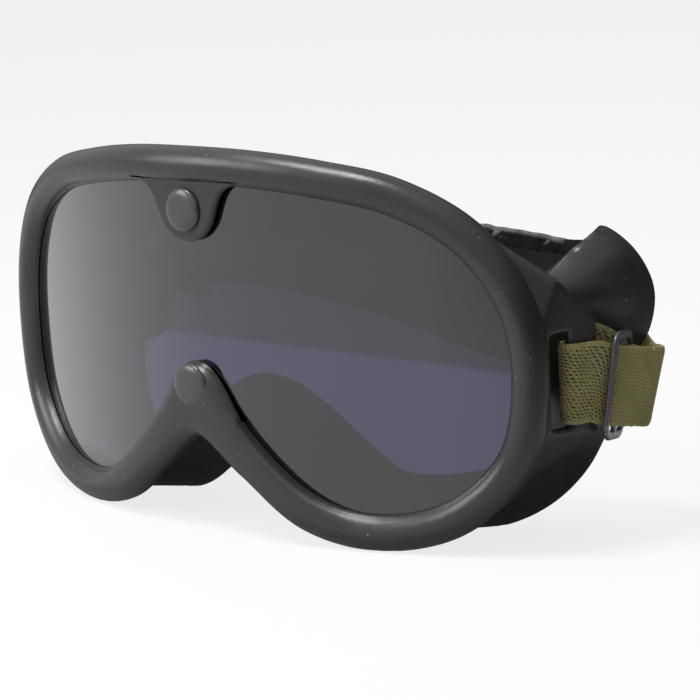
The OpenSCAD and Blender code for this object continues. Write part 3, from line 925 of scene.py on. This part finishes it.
def ear_plate(ring):
    """The web from the bead to the strap's bar, merged into the rubber with a soft fillet."""
    bar_z = SLOT_H / 2 + 1.2
    bar_u = EAR_LEN - EAR_BAR + EAR_T / 2
    top = ear_point(EAR_LEN - EAR_T / 2, 0, EAR_Z + bar_z + SLOT_UP)
    low = ear_point(EAR_LEN - EAR_T / 2, 0, EAR_Z - bar_z)
    ridge = ear_point(EAR_RIDGE[0], 0, EAR_Z + bar_z + SLOT_UP + EAR_RIDGE[1])
    r = ear_roots()
    groups = [
        [r[0], r[1], ridge], [r[1], r[2], ridge], [r[2], r[3], ridge, top, low], [r[3], r[4], low],
    ]
    plate = joined([hull_of(points, EAR_T / 2) for points in groups], "ear_plate")
    apply_modifier(plate, "REMESH", mode="VOXEL", voxel_size=EAR_VOXEL)
    slot = block((1.2, -8, -SLOT_H / 2), (bar_u, 8, SLOT_H / 2 + SLOT_UP))
    turn = Matrix.Rotation(math.radians(EAR_TURN), 4, "Z")
    origin = at(0, 0, 0)
    slot.data.transform(Matrix.Translation(-origin))
    slot.data.transform(Matrix.Translation(at(EAR_X, EAR_Y, EAR_Z)) @ turn)
    bar = rod((0, 0, SLOT_UP / 2), (0, 0, 1), EAR_T / 2, SLOT_H + SLOT_UP + 4)
    bar.data.transform(Matrix.Translation(at(*ear_point(bar_u, 0, EAR_Z)) - origin))
    slot = cut(slot, bar)
    plate = cut(plate, slot)
    near = block((58, 0, -46.1), (110, 70, 42))
    root = cut(copied(ring, "ear_root"), near, "INTERSECT")
    reach = BVHTree.FromObject(plate, bpy.context.evaluated_depsgraph_get())
    skin = BVHTree.FromObject(ring, bpy.context.evaluated_depsgraph_get())
    ear = joined([root, plate], "ear")
    apply_modifier(ear, "REMESH", mode="VOXEL", voxel_size=EAR_VOXEL)
    apply_modifier(ear, "SMOOTH", factor=0.5, iterations=14)
    mesh = bmesh.new()
    mesh.from_mesh(ear.data)
    far = []
    for v in mesh.verts:
        gap = reach.find_nearest(v.co)[3] / MM
        if gap > EAR_KEPT:
            far.append(v)
            continue
        place, normal, _, off = skin.find_nearest(v.co)
        sink = ease((gap - EAR_FILLET[0]) / EAR_FILLET[1])
        v.co = v.co.lerp(place, sink) - normal * sink * EAR_SINK * MM
    bmesh.ops.delete(mesh, geom=far, context="VERTS")
    mesh.to_mesh(ear.data)
    mesh.free()
    return ear


def vent_cutters():
    """Blocks that cut the vent ports: the places, half width, way behind the lens and heights."""
    rows = ((PORT_X, PORT_W / 2, 16, 20, 44), (CHEEK_X, PORT_W / 2 - 1, 14, -53, -37))
    blocks = []
    for side in (-1, 1):
        for places, half, behind, low, high in rows:
            for x in places:
                y = bow(x) + behind
                corner = (side * x - half, y - PORT_HALF, low)
                blocks.append(block(corner, (side * x + half, y + PORT_HALF, high)))
    return joined(blocks, "vent_cutters")


def plate_piece(name, outline, layers):
    """A flat plate in the front view: each layer is an inset of the outline and its depth."""
    rings = []
    for inset, depth in layers:
        rings.append(
            [
                Vector((q.x, depth(q.x) if callable(depth) else depth, q.y))
                for q in (p - inset * away(outline, i) for i, p in enumerate(outline))
            ]
        )
    return loft(name, rings)


TONGUE = [
    (0, 43), (12, 43), (20, 43), (14, 39.5), (10.5, 36.8), (8.8, 33.8), (8.2, 31), (6.4, 28),
    (3.5, 25.9), (0, 25.2),
]


def rear_tongue():
    """The tongue behind the lens at the brow, with the upper socket's seat."""
    outline = closed_curve(whole_outline(TONGUE), 4)
    layers = [
        (0.5, lambda x: bow(x) + GROOVE), (0.15, lambda x: bow(x) + GROOVE + 0.12),
        (0, lambda x: bow(x) + GROOVE + 0.5), (0, lambda x: bow(x) + GROOVE + 1.5),
        (0.15, lambda x: bow(x) + GROOVE + 1.88), (0.5, lambda x: bow(x) + GROOVE + 2),
    ]
    tongue = plate_piece("rear_tongue", outline, layers)
    for y, r, length in ((3, 2.25, 12), (0.62 + 0.7, 4.65, 1.44)):
        tongue = cut(tongue, rod((0, y, TOP_SNAP_Z), (0, 1, 0), r, length))
    return tongue


def nose_room():
    """The room in front of the lens that the nose tab takes out of the bead, open back to the
    groove."""
    outline = [Vector((x, NOSE_LOW)) for x in spread(-NOSE_HALF, NOSE_HALF, 28)]
    outline += [Vector((x, NOSE_TOP)) for x in spread(NOSE_HALF, -NOSE_HALF, 28)]
    layers = [(0, lambda x: NOSE_FRONT), (0, lambda x: bow(x) - GROOVE + 0.02)]
    return plate_piece("nose_room", outline, layers)


class GOGGLES_OT_rubber(bpy.types.Operator):
    """Moulded rubber frame: bead, side wall, face lip, vents and strap ears"""

    bl_idname = "goggles.rubber"
    bl_label = "Rubber frame"

    def execute(self, context):
        finish = rubber_finish(context.scene.goggles_rubber)
        ring = rubber_ring()
        ear = ear_plate(ring)
        other = mirrored(ear, "ear_other")
        nose = copied(ring, "nose_tab_rubber")
        low, high = (-NOSE_HALF, NOSE_FRONT, NOSE_LOW), (NOSE_HALF, -TAB_BACK, NOSE_TOP)
        cut(nose, block(low, high), "INTERSECT")
        cut(ring, nose_room())
        cut(ring, vent_cutters())
        cut(ring, rod((0, 3, NOSE_SNAP_Z), (0, 1, 0), 2.25, 12))
        body = joined([ring, ear, other, rear_tongue()], "rubber_body")
        finish_piece(body, "frame", finish, ["rubber_frame"], 50)
        cut(nose, rod((0, -4, NOSE_SNAP_Z), (0, 1, 0), 1.65, 10))
        nose.data.materials.append(finish)
        smooth(nose, 50)
        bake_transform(nose)
        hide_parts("nose_tab")
        return {"FINISHED"}


class GOGGLES_OT_top_tab(bpy.types.Operator):
    """Upper snap tab, which comes out from under the brow's bead"""

    bl_idname = "goggles.top_tab"
    bl_label = "Upper snap tab"

    def execute(self, context):
        tip = TOP_SNAP_Z - 7.8
        half = [
            (0, 43.2), (9, 43), (17.5, 42.2), (18.6, 41.2), (15.8, 40.2), (13, 38.9), (11.3, 37),
            (10.1, 34.6), (9.1, 32), (7.6, 29.4), (5.3, 27.3), (2.7, tip + 0.25), (0, tip),
        ]
        outline = closed_curve(whole_outline(half), 6)
        front, back = -TAB_BACK - TOP_TAB_T, -TAB_BACK
        layers = [
            (1.1, front), (0.7, front + 0.06), (0.32, front + 0.25), (0.08, front + 0.55),
            (0, front + 0.9), (0.05, back - 0.3), (0.3, back),
        ]
        tab = plate_piece("top_tab_rubber", outline, layers)
        cut(tab, rod((0, front, TOP_SNAP_Z), (0, 1, 0), 1.65, 10))
        take(tab)
        bpy.ops.object.mode_set(mode="EDIT")
        for z in spread(36.5, 41.5, 11):
            bpy.ops.mesh.select_all(action="SELECT")
            bpy.ops.mesh.bisect(plane_co=at(0, 0, z), plane_no=(0, 0, 1))
        bpy.ops.object.mode_set(mode="OBJECT")
        tab.data.materials.append(bpy.data.materials["moulded rubber"])
        smooth(tab, 50)
        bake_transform(tab)
        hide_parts("top_tab")
        return {"FINISHED"}


class GOGGLES_OT_lens(bpy.types.Operator):
    """Flexible tinted lens, bowed into the groove, with two holes for the studs"""

    bl_idname = "goggles.lens"
    bl_label = "Lens"

    def execute(self, context):
        edge = [lens_edge(i) for i in range(len(RIM))]
        middle = Vector((0, 0, 12))
        shares = [1, 0.97, 0.93, 0.87, 0.8, 0.7, 0.6, 0.5, 0.4, 0.3, 0.2, 0.1]
        half = LENS_T / 2

        def sheet_point(p, share, lift):
            q = middle.lerp(Vector((p.x, 0, p.z)), share)
            return Vector((q.x, bow(q.x), q.z)) + lift * facing(q.x)

        rings = [[sheet_point(p, s, half) for p in edge] for s in reversed(shares)]
        rings += [[sheet_point(p, 1.0025, 0) for p in edge]]
        rings += [[sheet_point(p, s, -half) for p in edge] for s in shares]
        lens = loft("lens_sheet", rings)
        holes = joined(
            [rod((0, 0, z), (0, 1, 0), LENS_HOLE_R, 6) for z in (TOP_SNAP_Z, NOSE_SNAP_Z)], "holes"
        )
        cut(lens, holes)
        look = lens_finish(context.scene.goggles_lens)
        finish_piece(lens, "frame", look, ["lens"], 50)
        return {"FINISHED"}


def cap_profile(front, back):
    """Radius and depth down a snap cap: a flat crown with a round shoulder."""
    points = [(0, back), (1.6, back), (1.6, front), (CAP_R - 0.12, front), (CAP_R, front - 0.16)]
    for k in range(1, 15):
        a = math.radians(90 * k / 14)
        r = CAP_R * math.cos(a) ** 0.55 if k < 14 else 0
        points.append((r, front - 0.3 - (CAP_H - 0.3) * math.sin(a)))
    return points


class GOGGLES_OT_snaps(bpy.types.Operator):
    """Snap caps, spun from their profiles, and finishes for the hidden snap parts"""

    bl_idname = "goggles.snaps"
    bl_label = "Snap fasteners"

    def execute(self, context):
        look = context.scene.goggles_metal
        black = metal_finish("blackened snap", look.cap, look.cap_worn, 0.27, 0.3)
        steel = metal_finish("spring wire", look.steel, look.steel, 0.3, 1.0)
        back = -TAB_BACK - 0.5
        snaps = (("top_tab", TOP_SNAP_Z, TOP_TAB_T), ("nose_tab", NOSE_SNAP_Z, NOSE_TAB_T))
        for body, z, thick in snaps:
            profile = cap_profile(-TAB_BACK - thick, back)
            node = body.replace("tab", "snap_cap")
            name = node.replace("snap_cap", "cap")
            cap = mesh_piece(name, [at(r, y, z) for r, y in profile], [])
            mesh = bmesh.new()
            mesh.from_mesh(cap.data)
            mesh.verts.ensure_lookup_table()
            for a, b in zip(mesh.verts[:-1], mesh.verts[1:]):
                mesh.edges.new((a, b))
            mesh.to_mesh(cap.data)
            mesh.free()
            take(cap)
            bpy.ops.object.mode_set(mode="EDIT")
            bpy.ops.mesh.select_all(action="SELECT")
            bpy.ops.mesh.spin(steps=72, angle=math.tau, center=at(0, 0, z), axis=(0, 1, 0))
            bpy.ops.object.mode_set(mode="OBJECT")
            outside_out(cap)
            finish_piece(cap, body, black, [node], 35)
        for node in ("top_snap_stud", "nose_snap_stud", "snap_sockets", "snap_eyelets"):
            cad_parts[node].data.materials.clear()
            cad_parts[node].data.materials.append(black)
        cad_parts["snap_springs"].data.materials.clear()
        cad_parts["snap_springs"].data.materials.append(steel)
        return {"FINISHED"}


def wall_at(x, f, half):
    """A point of the wall at a distance x from the middle, on the brow (x > 0) or the cheek
    (x < 0), and the wall's outward direction there."""
    stretch = range(len(RIM) // 4) if x > 0 else range(len(RIM) // 4, len(RIM) // 2)
    for i in stretch:
        a, b = RIM[i].x, RIM[i + 1].x
        if min(a, b) <= abs(x) <= max(a, b):
            here, there = wall_point(i, f, half), wall_point(i + 1, f, half)
            return here.lerp(there, (abs(x) - a) / (b - a)), outward(i)
    raise ValueError(f"no wall at {x}")


def felt_strip(name, first, last, rows, base, lift, fuzz, slant=0.0):
    """A strip of felt on the wall, with a rounded edge, an uneven surface and a slanted end."""
    rings = []
    length = abs(last - first)
    count = int(length / 0.7)
    for k in range(count + 1):
        end = min(k, count - k, 3) / 3
        ring = []

        def place(f):
            t = (f - rows[0]) / (rows[-1] - rows[0])
            stop = last - slant * (1 - t * t)
            return wall_at(first + (stop - first) * k / count, f, base)

        for f in rows:
            p, o = place(f)
            ring.append(p + o * 0.05 * math.copysign(1, lift))
        for j, f in enumerate(reversed(rows)):
            p, o = place(f)
            edge = min(j, len(rows) - 1 - j, 2) / 2
            full = (0.45 + 0.55 * math.sin(edge * math.pi / 2)) * (0.5 + 0.5 * end)
            ring.append(p + o * lift * full)
        rings.append(ring)
    strip = loft(name, rings)
    layer = strip.data.uv_layers.new(name="felt")
    there_and_back = rows + rows[::-1]
    shares = {lookup(at(*p)): f for ring in rings for p, f in zip(ring, there_and_back)}
    for loop in strip.data.loops:
        co = strip.data.vertices[loop.vertex_index].co
        layer.data[loop.index].uv = (0, shares.get(lookup(co), 0.5))
    for v in strip.data.vertices:
        wobble = noise.noise(v.co * 700) * 0.7 + noise.noise(v.co * 2300) * 0.5
        v.co += v.normal * wobble * fuzz
    return strip


class GOGGLES_OT_filters(bpy.types.Operator):
    """Felt strips over the vent ports, at the brow and over the cheeks"""

    bl_idname = "goggles.filters"
    bl_label = "Vent filters"

    def execute(self, context):
        look = context.scene.goggles_felt
        felt = felt_finish(look)
        rows = spread(0.3, 0.88, 10) + [0.9, 0.915, 0.93, 0.94, 0.95, 0.96, 0.968]
        cheek_rows = spread(0.3, 0.55, 7)
        half = WALL_T / 2
        brow = felt_strip(
            "brow_felt_left", BROW_FROM, BROW_FROM + FILTER_LEN, rows, half, FILTER_T, look.fuzz,
            BROW_SLANT,
        )
        cheek = felt_strip(
            "cheek_felt_left", CHEEK_FROM, CHEEK_FROM + CHEEK_LEN, cheek_rows, -half, -FILTER_T,
            look.fuzz / 2,
        )
        for piece, node in ((brow, "brow_filter"), (cheek, "cheek_filter")):
            other = mirrored(piece, piece.name.replace("left", "right"))
            finish_piece(piece, "frame", felt, [node + "_left"], 60)
            finish_piece(other, "frame", felt, [node + "_right"], 60)
        return {"FINISHED"}


# The strap's way


LEFT_LOOP = (Vector((EAR_X, EAR_Y, EAR_Z + 1.3)), 75, 10)
RIGHT_LOOP = (Vector((62.5, 51, 9)), 205, -14)
WRAP_R = EAR_T / 2 + 0.25 + STRAP_T / 2
LAYER_V = WRAP_R + 0.2
BAR_U = EAR_LEN - EAR_BAR + EAR_T / 2
TAIL_FROM = BAR_U + 2.6
FOLD_U = 28.8
FOLD_R = 5.6
FOLD_LEAN = 8.0
UPRIGHT = Vector((0, 0, 1))
TAIL_LIFT = 4.2
RIB_PITCH = 0.95


def in_loop(loop, u, v, z):
    place, turn, tilt = loop
    c, s = math.cos(math.radians(turn)), math.sin(math.radians(turn))
    ct, st = math.cos(math.radians(tilt)), math.sin(math.radians(tilt))
    a = u * ct + z * st
    return place + Vector((a * c + v * s, a * s - v * c, z * ct - u * st))


def flipped(points):
    return [Vector((-p.x, p.y, p.z)) for p in reversed(points)]


def strap_way():
    """The strap's middle line, from its left end round the ear and behind the frame to the right,
    and the lean of its width at each point."""
    wrap = [ear_point(TAIL_FROM, -LAYER_V, EAR_Z), ear_point(BAR_U + 1.3, -WRAP_R - 0.1, EAR_Z)]
    for a in range(270, 89, -20):
        turn = math.radians(a)
        wrap.append(ear_point(BAR_U + WRAP_R * math.cos(turn), WRAP_R * math.sin(turn), EAR_Z))
    wrap.append(ear_point(BAR_U + 2.5, WRAP_R + 0.1, EAR_Z))
    wrap.append(ear_point(BAR_U + 5, LAYER_V, EAR_Z - 0.2))
    tilted = (Vector(), LEFT_LOOP[1], LEFT_LOOP[2] + FOLD_LEAN)
    lean = in_loop(tilted, 0, 0, 1)
    fold, leans = [], []
    for a in range(0, 91, 15):
        turn = math.radians(a)
        p = in_loop(LEFT_LOOP, FOLD_U, LAYER_V, 0)
        p += in_loop(tilted, FOLD_R * math.sin(turn), FOLD_R * (math.cos(turn) - 1), 0)
        fold.append(p + FOLD_R * turn * math.tan(math.radians(FOLD_LEAN)) * lean)
        leans.append(lean.lerp(UPRIGHT, (max(a - 30, 0) / 75) ** 2))
    behind = [
        (85.3, 62.6, -8), (78.4, 61.4, -5.9), (68, 57.4, -2.2), (50, 49, 4), (28, 41, 12),
        (5, 36.6, 16.6), (-16, 36.4, 17.8),
    ]
    right_out = [
        (95.78, 54.6, -8.5), (93.6, 61.8, -10), (86, 65, -7.5), (77, 63, -2), (68, 57.6, 4.2),
    ]
    right_in = [
        (91, 52.6, -8), (92.6, 58.8, -10.6), (85.8, 62.2, -7.4), (78, 60.4, -2.2), (70, 55.6, 3.6),
    ]
    right = [in_loop(RIGHT_LOOP, TAIL_FROM, -LAYER_V, 0), in_loop(RIGHT_LOOP, 5, -LAYER_V + 0.2, 0)]
    right += [Vector(p) for p in reversed(right_in)]
    right += [ear_point(20, -LAYER_V, EAR_Z)] + wrap + [ear_point(20, LAYER_V, EAR_Z)]
    right += [Vector(p) for p in right_out] + [in_loop(RIGHT_LOOP, 2, LAYER_V, 0)]
    right += [in_loop(RIGHT_LOOP, u, LAYER_V, 0) for u in (9, 16, 23, 30)]
    start = wrap + [in_loop(LEFT_LOOP, u, LAYER_V, 0) for u in (18, 22, 26)]
    end = [Vector(p) for p in behind] + flipped(right)
    return start + fold + end, [UPRIGHT] * len(start) + leans + [UPRIGHT] * len(end)


BAR_1 = Vector((SLIDE_AT, LAYER_V + STRAP_T / 2 + 0.4 + SLIDE_T / 2))
BAR_3 = Vector((SLIDE_AT + SLIDE_LEN, -2.4))
TURN_R = math.hypot(SLIDE_W, SLIDE_T) / 2 + 0.12 + STRAP_T / 2


def tail_way(loop):
    """The strap's end: from the inner layer it arches to the slide and turns round its last bar."""
    flat = open_curve(
        [
            Vector((TAIL_FROM, -LAYER_V)), Vector((TAIL_FROM + 2.6, -LAYER_V)),
            Vector((TAIL_FROM + 4.4, -3.8)), Vector((18.2, -4.8)),
            BAR_3 + Vector((-3.4, -TURN_R - 0.5)), BAR_3 + Vector((0, -TURN_R)),
        ],
        4,
    )
    for a in range(-70, 91, 16):
        turn = math.radians(a)
        flat.append(BAR_3 + TURN_R * Vector((math.cos(turn), math.sin(turn))))
    flat.append(BAR_3 + Vector((-1.7, TURN_R)))
    lifted = []
    for p in flat:
        t = (p.x - TAIL_FROM) / (BAR_3.x - TAIL_FROM)
        lift = TAIL_LIFT * ease(t / 0.3) * ease((1 - t) / 0.6) if p.y < BAR_3.y else 0
        lifted.append(in_loop(loop, p.x, p.y, lift))
    return lifted


def webbing(name, way, leans, start=0.0):
    """Webbing along a way, with ribs across it and its own UV map in metres."""
    step = RIB_PITCH / 4
    curve = open_curve(way, 6)
    places = even_steps(curve, step)
    line, leaning = placed_on(curve, places), placed_on(open_curve(leans, 6), places)
    half_w, half_t = STRAP_W / 2, STRAP_T / 2
    profile = []
    for u in spread(-1, 1, 17):
        edge = max(abs(u) - 0.93, 0) / 0.07
        profile.append((u * half_w, half_t * (1 - 0.45 * edge * edge)))
    rings = []
    for i, p in enumerate(line):
        t = (line[min(i + 2, len(line) - 1)] - line[max(i - 2, 0)]).normalized()
        up = (leaning[i] - leaning[i].dot(t) * t).normalized()
        side = t.cross(up)
        rib = 0.05 * math.cos(2 * math.pi * (i * step) / RIB_PITCH)
        rib -= 0.05 if 0 < i < len(line) - 1 else 0.25
        ragged = [
            0.12 * noise.noise(p * 1.7 + 9 * Vector((w, 0, 0))) + 0.1 * noise.noise(p * 5)
            for w in (-1, 1)
        ]
        ring = [
            p + up * (a * (1 + ragged[a > 0] / half_w)) + turn * side * (b + rib)
            for turn, row in ((1, profile), (-1, reversed(profile)))
            for a, b in row
        ]
        rings.append(ring)
    piece = loft(name, rings)
    layer = piece.data.uv_layers.new(name="webbing")
    width = [a for a, _ in profile] + [a for a, _ in reversed(profile)]
    known = {}
    for i, ring in enumerate(rings):
        for j, p in enumerate(ring):
            known[lookup(at(*p))] = (i, j)
    for face in piece.data.polygons:
        for k in face.loop_indices:
            co = piece.data.vertices[piece.data.loops[k].vertex_index].co
            i, j = known.get(lookup(co), (0, 0))
            layer.data[k].uv = (width[j] * MM, (start + i * step) * MM)
    return piece


class GOGGLES_OT_strap(bpy.types.Operator):
    """Elastic strap and its two ends, which turn round the slides' last bars"""

    bl_idname = "goggles.strap"
    bl_label = "Elastic strap"

    def execute(self, context):
        look = webbing_finish(context.scene.goggles_webbing)
        strap = webbing("strap_webbing", *strap_way())
        finish_piece(strap, "frame", look, ["elastic_strap"], 70)
        for side, loop in (("left", LEFT_LOOP), ("right", RIGHT_LOOP)):
            way = tail_way(loop)
            end = webbing("strap_tail_" + side, way, [UPRIGHT] * len(way), 300)
            if side == "right":
                mirror_mesh(end)
            end.data.materials.append(look)
            smooth(end, 70)
            first, last = in_loop(loop, TAIL_FROM, 0, 0), in_loop(loop, TAIL_FROM + 3.5, 0, 0)
            if side == "right":
                first.x, last.x = -first.x, -last.x
            at(*first)
            at(*last)
            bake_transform(end)
            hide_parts("strap_end_" + side)
        return {"FINISHED"}


def slide_outline():
    """The middle of the slide's ring in its own plane, round its four corners."""
    half_h = (STRAP_W + 3.2) / 2 + 0.7
    span = (BAR_3 - BAR_1).length / 2
    r = SLIDE_TURN
    points = []
    corners = (
        (span - r, half_h - r, 0), (r - span, half_h - r, 90),
        (r - span, r - half_h, 180), (span - r, r - half_h, 270),
    )
    for x, z, start in corners:
        for a in range(start, start + 91, 10):
            turn = math.radians(a)
            points.append(Vector((x + r * math.cos(turn), z + r * math.sin(turn))))
    return points


def slide_place(loop, x, z, off):
    """A place on a slide: x runs from its middle towards the last bar, and off stands out of its
    plane."""
    along = (BAR_3 - BAR_1).normalized()
    p = (BAR_1 + BAR_3) / 2 + x * along + off * Vector((-along.y, along.x))
    return in_loop(loop, p.x, p.y, z)


def round_bar(name, places, closed):
    """A bar of soft rectangular section along places, each a centre with the section's two
    directions."""
    rings = []
    for centre, wide, thick in places:
        ring = []
        for k in range(20):
            a = math.tau * k / 20
            c, q = math.cos(a), math.sin(a)
            ring.append(
                centre + wide * math.copysign(abs(c) ** 0.6, c) * SLIDE_BAR[0] / 2
                + thick * math.copysign(abs(q) ** 0.6, q) * SLIDE_BAR[1] / 2
            )
        rings.append(ring)
    return loft(name, rings, closed)


class GOGGLES_OT_slides(bpy.types.Operator):
    """Lacquered metal slides: a ring with rounded corners and a middle bar"""

    bl_idname = "goggles.slides"
    bl_label = "Slides"

    def execute(self, context):
        look = context.scene.goggles_metal
        lacquer = metal_finish("slide lacquer", look.slide, look.slide_worn, 0.3, 0.3)
        for side, loop in (("left", LEFT_LOOP), ("right", RIGHT_LOOP)):
            outline = slide_outline()
            thick = (slide_place(loop, 0, 0, 1) - slide_place(loop, 0, 0, 0)).normalized()
            places = []
            for k, p in enumerate(outline):
                out = away(outline, k)
                wide = slide_place(loop, out.x, out.y, 0) - slide_place(loop, 0, 0, 0)
                places.append((slide_place(loop, p.x, p.y, 0), -wide.normalized(), thick))
            ring = round_bar("slide_metal_" + side, places, True)
            across = (slide_place(loop, 1, 0, 0) - slide_place(loop, 0, 0, 0)).normalized()
            end = (STRAP_W + 3.2) / 2 + 0.4
            heights = spread(-end, end, 9)
            middle = [(slide_place(loop, 0, z, 0), across, thick) for z in heights]
            middle = round_bar("middle", middle, False)
            piece = joined([ring, middle], "slide_metal_" + side)
            if side == "right":
                mirror_mesh(piece)
            finish_piece(piece, side + "_slide", lacquer, ["slide_" + side], 40)
        return {"FINISHED"}


# Stage

CAMERA_PLACE = (0.4424, -0.46708, 0.1637)
CAMERA_LENS = 133.08
CAMERA_AXES = (
    (0.74836, 0.66168, -0.04634),
    (-0.09244, 0.17322, 0.98054),
    (0.65682, -0.72951, 0.19080),
)
# Each soft lamp's name, place, size, and share of the set strength
LAMPS = (
    ("overhead", (-0.12, -0.28, 0.9), 0.28, 1.0),
    ("front left", (-0.6, -0.75, 0.55), 0.5, 0.8),
)
LAMP_AIM = (0, 0, 0.05)
# The side that most of the soft light comes from, and where the glossy skins see it begin and end
LIGHT_SIDE = (-0.35, -0.45, 0.82)
MIRROR_TURN = (0.02, 0.48)
# Painted shadow under the goggles that their glossy skins see in the floor: a dark ellipse
PAINTED_SHADOW_MIDDLE = (0, 0.03, 0)
PAINTED_SHADOW_SIZE = (0.12, 0.065)


class GOGGLES_OT_stage(bpy.types.Operator):
    """Camera, soft lamps, pale floor and plain surroundings"""

    bl_idname = "goggles.stage"
    bl_label = "Stage"

    def execute(self, context):
        look = context.scene.goggles_stage
        scene = context.scene
        nothing_selected()
        bpy.ops.object.camera_add(location=CAMERA_PLACE)
        camera = context.object
        camera.data.lens = CAMERA_LENS
        camera.data.sensor_width = 36
        camera.rotation_euler = Matrix(CAMERA_AXES).transposed().to_euler()
        camera.data.clip_end = 20
        scene.camera = camera
        bpy.ops.mesh.primitive_plane_add(size=1, location=(0, 0, -0.0001))
        floor = context.object
        floor.name = "floor"
        floor.scale = (8, 8, 1)
        bpy.ops.object.transform_apply(location=True, rotation=True, scale=True)
        floor.data.materials.append(self.floor_finish(look))
        self.surroundings(look)
        for name, place, size, share in LAMPS:
            bpy.ops.object.light_add(type="AREA", location=place)
            lamp = context.object
            lamp.name = name
            lamp.data.size = size
            lamp.data.energy = look.lamp * share
            aim = Vector(LAMP_AIM) - Vector(place)
            lamp.rotation_euler = aim.to_track_quat("-Z", "Y").to_euler()
        scene.view_settings.view_transform = "Standard"
        return {"FINISHED"}

    def floor_finish(self, look):
        """Pale matt floor that shows as white, with the object's shadow on it. The table ends
        behind the goggles and at their right, which the lens and the glossy skins show. The glossy
        skins also see a painted shadow in its glow, a dark ellipse under the goggles."""
        f = Finish("pale floor")
        f.join(f.mix(f.is_ray("Diffuse"), look.floor, look.bounce), f.shader.inputs["Base Color"])
        f.set(Roughness=0.9)
        x, y, _ = f.split(f.place.outputs["Object"])
        behind = f.between(y, 0, 1, look.table_edge - 0.003, look.table_edge + 0.003)
        beside = f.between(x, 0, 1, look.table_side - 0.06, look.table_side + 0.14)
        below = f.add("ShaderNodeVectorMath", operation="LENGTH")
        flat = f.add("ShaderNodeVectorMath", operation="MULTIPLY")
        flat.inputs[1].default_value = (1 / PAINTED_SHADOW_SIZE[0], 1 / PAINTED_SHADOW_SIZE[1], 1)
        centred = f.add("ShaderNodeVectorMath", operation="SUBTRACT")
        centred.inputs[1].default_value = PAINTED_SHADOW_MIDDLE
        f.join(f.place.outputs["Object"], centred.inputs[0])
        f.join(centred.outputs["Vector"], flat.inputs[0])
        f.join(flat.outputs["Vector"], below.inputs[0])
        # Painted shadow: an ellipse under the goggles where glossy rays see the floor's glow in the
        # shade tone
        under = f.between(below.outputs["Value"], 1, 0, 0.8, 1.3)
        # Where glossy rays see the shade tone: past the table's ends, and in the painted shadow
        dark = f.maths("MAXIMUM", f.maths("MAXIMUM", beside, behind), under)
        through = f.is_ray("Transmission")
        past = f.blend_values(through, f.maths("MULTIPLY", f.is_ray("Glossy"), dark), behind)
        glow = f.add("ShaderNodeEmission")
        off_table = f.mix(through, look.shade, look.room)
        f.join(f.mix(past, (1, 1, 1), off_table), glow.inputs["Color"])
        share = f.maths("MULTIPLY", f.is_ray("Camera", "Transmission", "Glossy"), 0.8)
        shown = f.blend(share, f.shader.outputs[0], glow.outputs[0])
        f.join(shown, f.tree.nodes["Material Output"].inputs["Surface"])
        return f.material

    def surroundings(self, look):
        """White for the camera, and soft light that is stronger from the front left and above."""
        world = bpy.data.worlds.new("surroundings")
        bpy.context.scene.world = world
        world.use_nodes = True
        n = Nodes(world.node_tree)
        side = n.add("ShaderNodeVectorMath", operation="DOT_PRODUCT")
        n.join(n.place.outputs["Generated"], side.inputs[0])
        side.inputs[1].default_value = Vector(LIGHT_SIDE).normalized()
        toward = n.between(side.outputs["Value"], look.sky_dark, look.sky, -0.4, 0.8)
        sky = n.tree.nodes["Background"]
        sky.inputs["Color"].default_value = (1, 1, 1, 1)
        n.join(toward, sky.inputs["Strength"])
        mirror = n.add("ShaderNodeBackground")
        mirrored_sky = n.between(side.outputs["Value"], look.sky_dark, 1, *MIRROR_TURN)
        n.join(mirrored_sky, mirror.inputs["Strength"])
        clear = n.add("ShaderNodeBackground")
        n.join(n.mix(n.is_ray("Transmission"), (1, 1, 1), look.room), clear.inputs["Color"])
        lit = n.blend(n.is_ray("Glossy"), sky.outputs[0], mirror.outputs[0])
        shown = n.blend(n.is_ray("Camera", "Transmission"), lit, clear.outputs[0])
        n.join(shown, n.tree.nodes["World Output"].inputs["Surface"])


class GOGGLES_PT_panel(bpy.types.Panel):
    """The goggles' pieces, one button each"""

    bl_label = "Goggles"
    bl_idname = "GOGGLES_PT_panel"
    bl_space_type = "VIEW_3D"
    bl_region_type = "UI"
    bl_category = "Goggles"

    def draw(self, context):
        for operator in OPERATORS:
            self.layout.operator(operator.bl_idname)


OPERATORS = (
    GOGGLES_OT_stage,
    GOGGLES_OT_rubber,
    GOGGLES_OT_top_tab,
    GOGGLES_OT_lens,
    GOGGLES_OT_snaps,
    GOGGLES_OT_filters,
    GOGGLES_OT_strap,
    GOGGLES_OT_slides,
)
SETTINGS = {
    "goggles_rubber": GogglesRubber,
    "goggles_lens": GogglesLens,
    "goggles_metal": GogglesMetal,
    "goggles_webbing": GogglesWebbing,
    "goggles_felt": GogglesFelt,
    "goggles_stage": GogglesStage,
}


def register():
    for kind in (*SETTINGS.values(), *OPERATORS, GOGGLES_PT_panel):
        bpy.utils.register_class(kind)
    for name, kind in SETTINGS.items():
        setattr(bpy.types.Scene, name, bpy.props.PointerProperty(type=kind))


def unregister():
    for name in SETTINGS:
        delattr(bpy.types.Scene, name)
    for kind in reversed((*SETTINGS.values(), *OPERATORS, GOGGLES_PT_panel)):
        bpy.utils.unregister_class(kind)


def main():
    register()
    bpy.ops.goggles.stage()
    bpy.ops.goggles.rubber()
    bpy.ops.goggles.top_tab()
    bpy.ops.goggles.lens()
    bpy.ops.goggles.snaps()
    bpy.ops.goggles.filters()
    bpy.ops.goggles.strap()
    bpy.ops.goggles.slides()


if __name__ == "__main__":
    main()
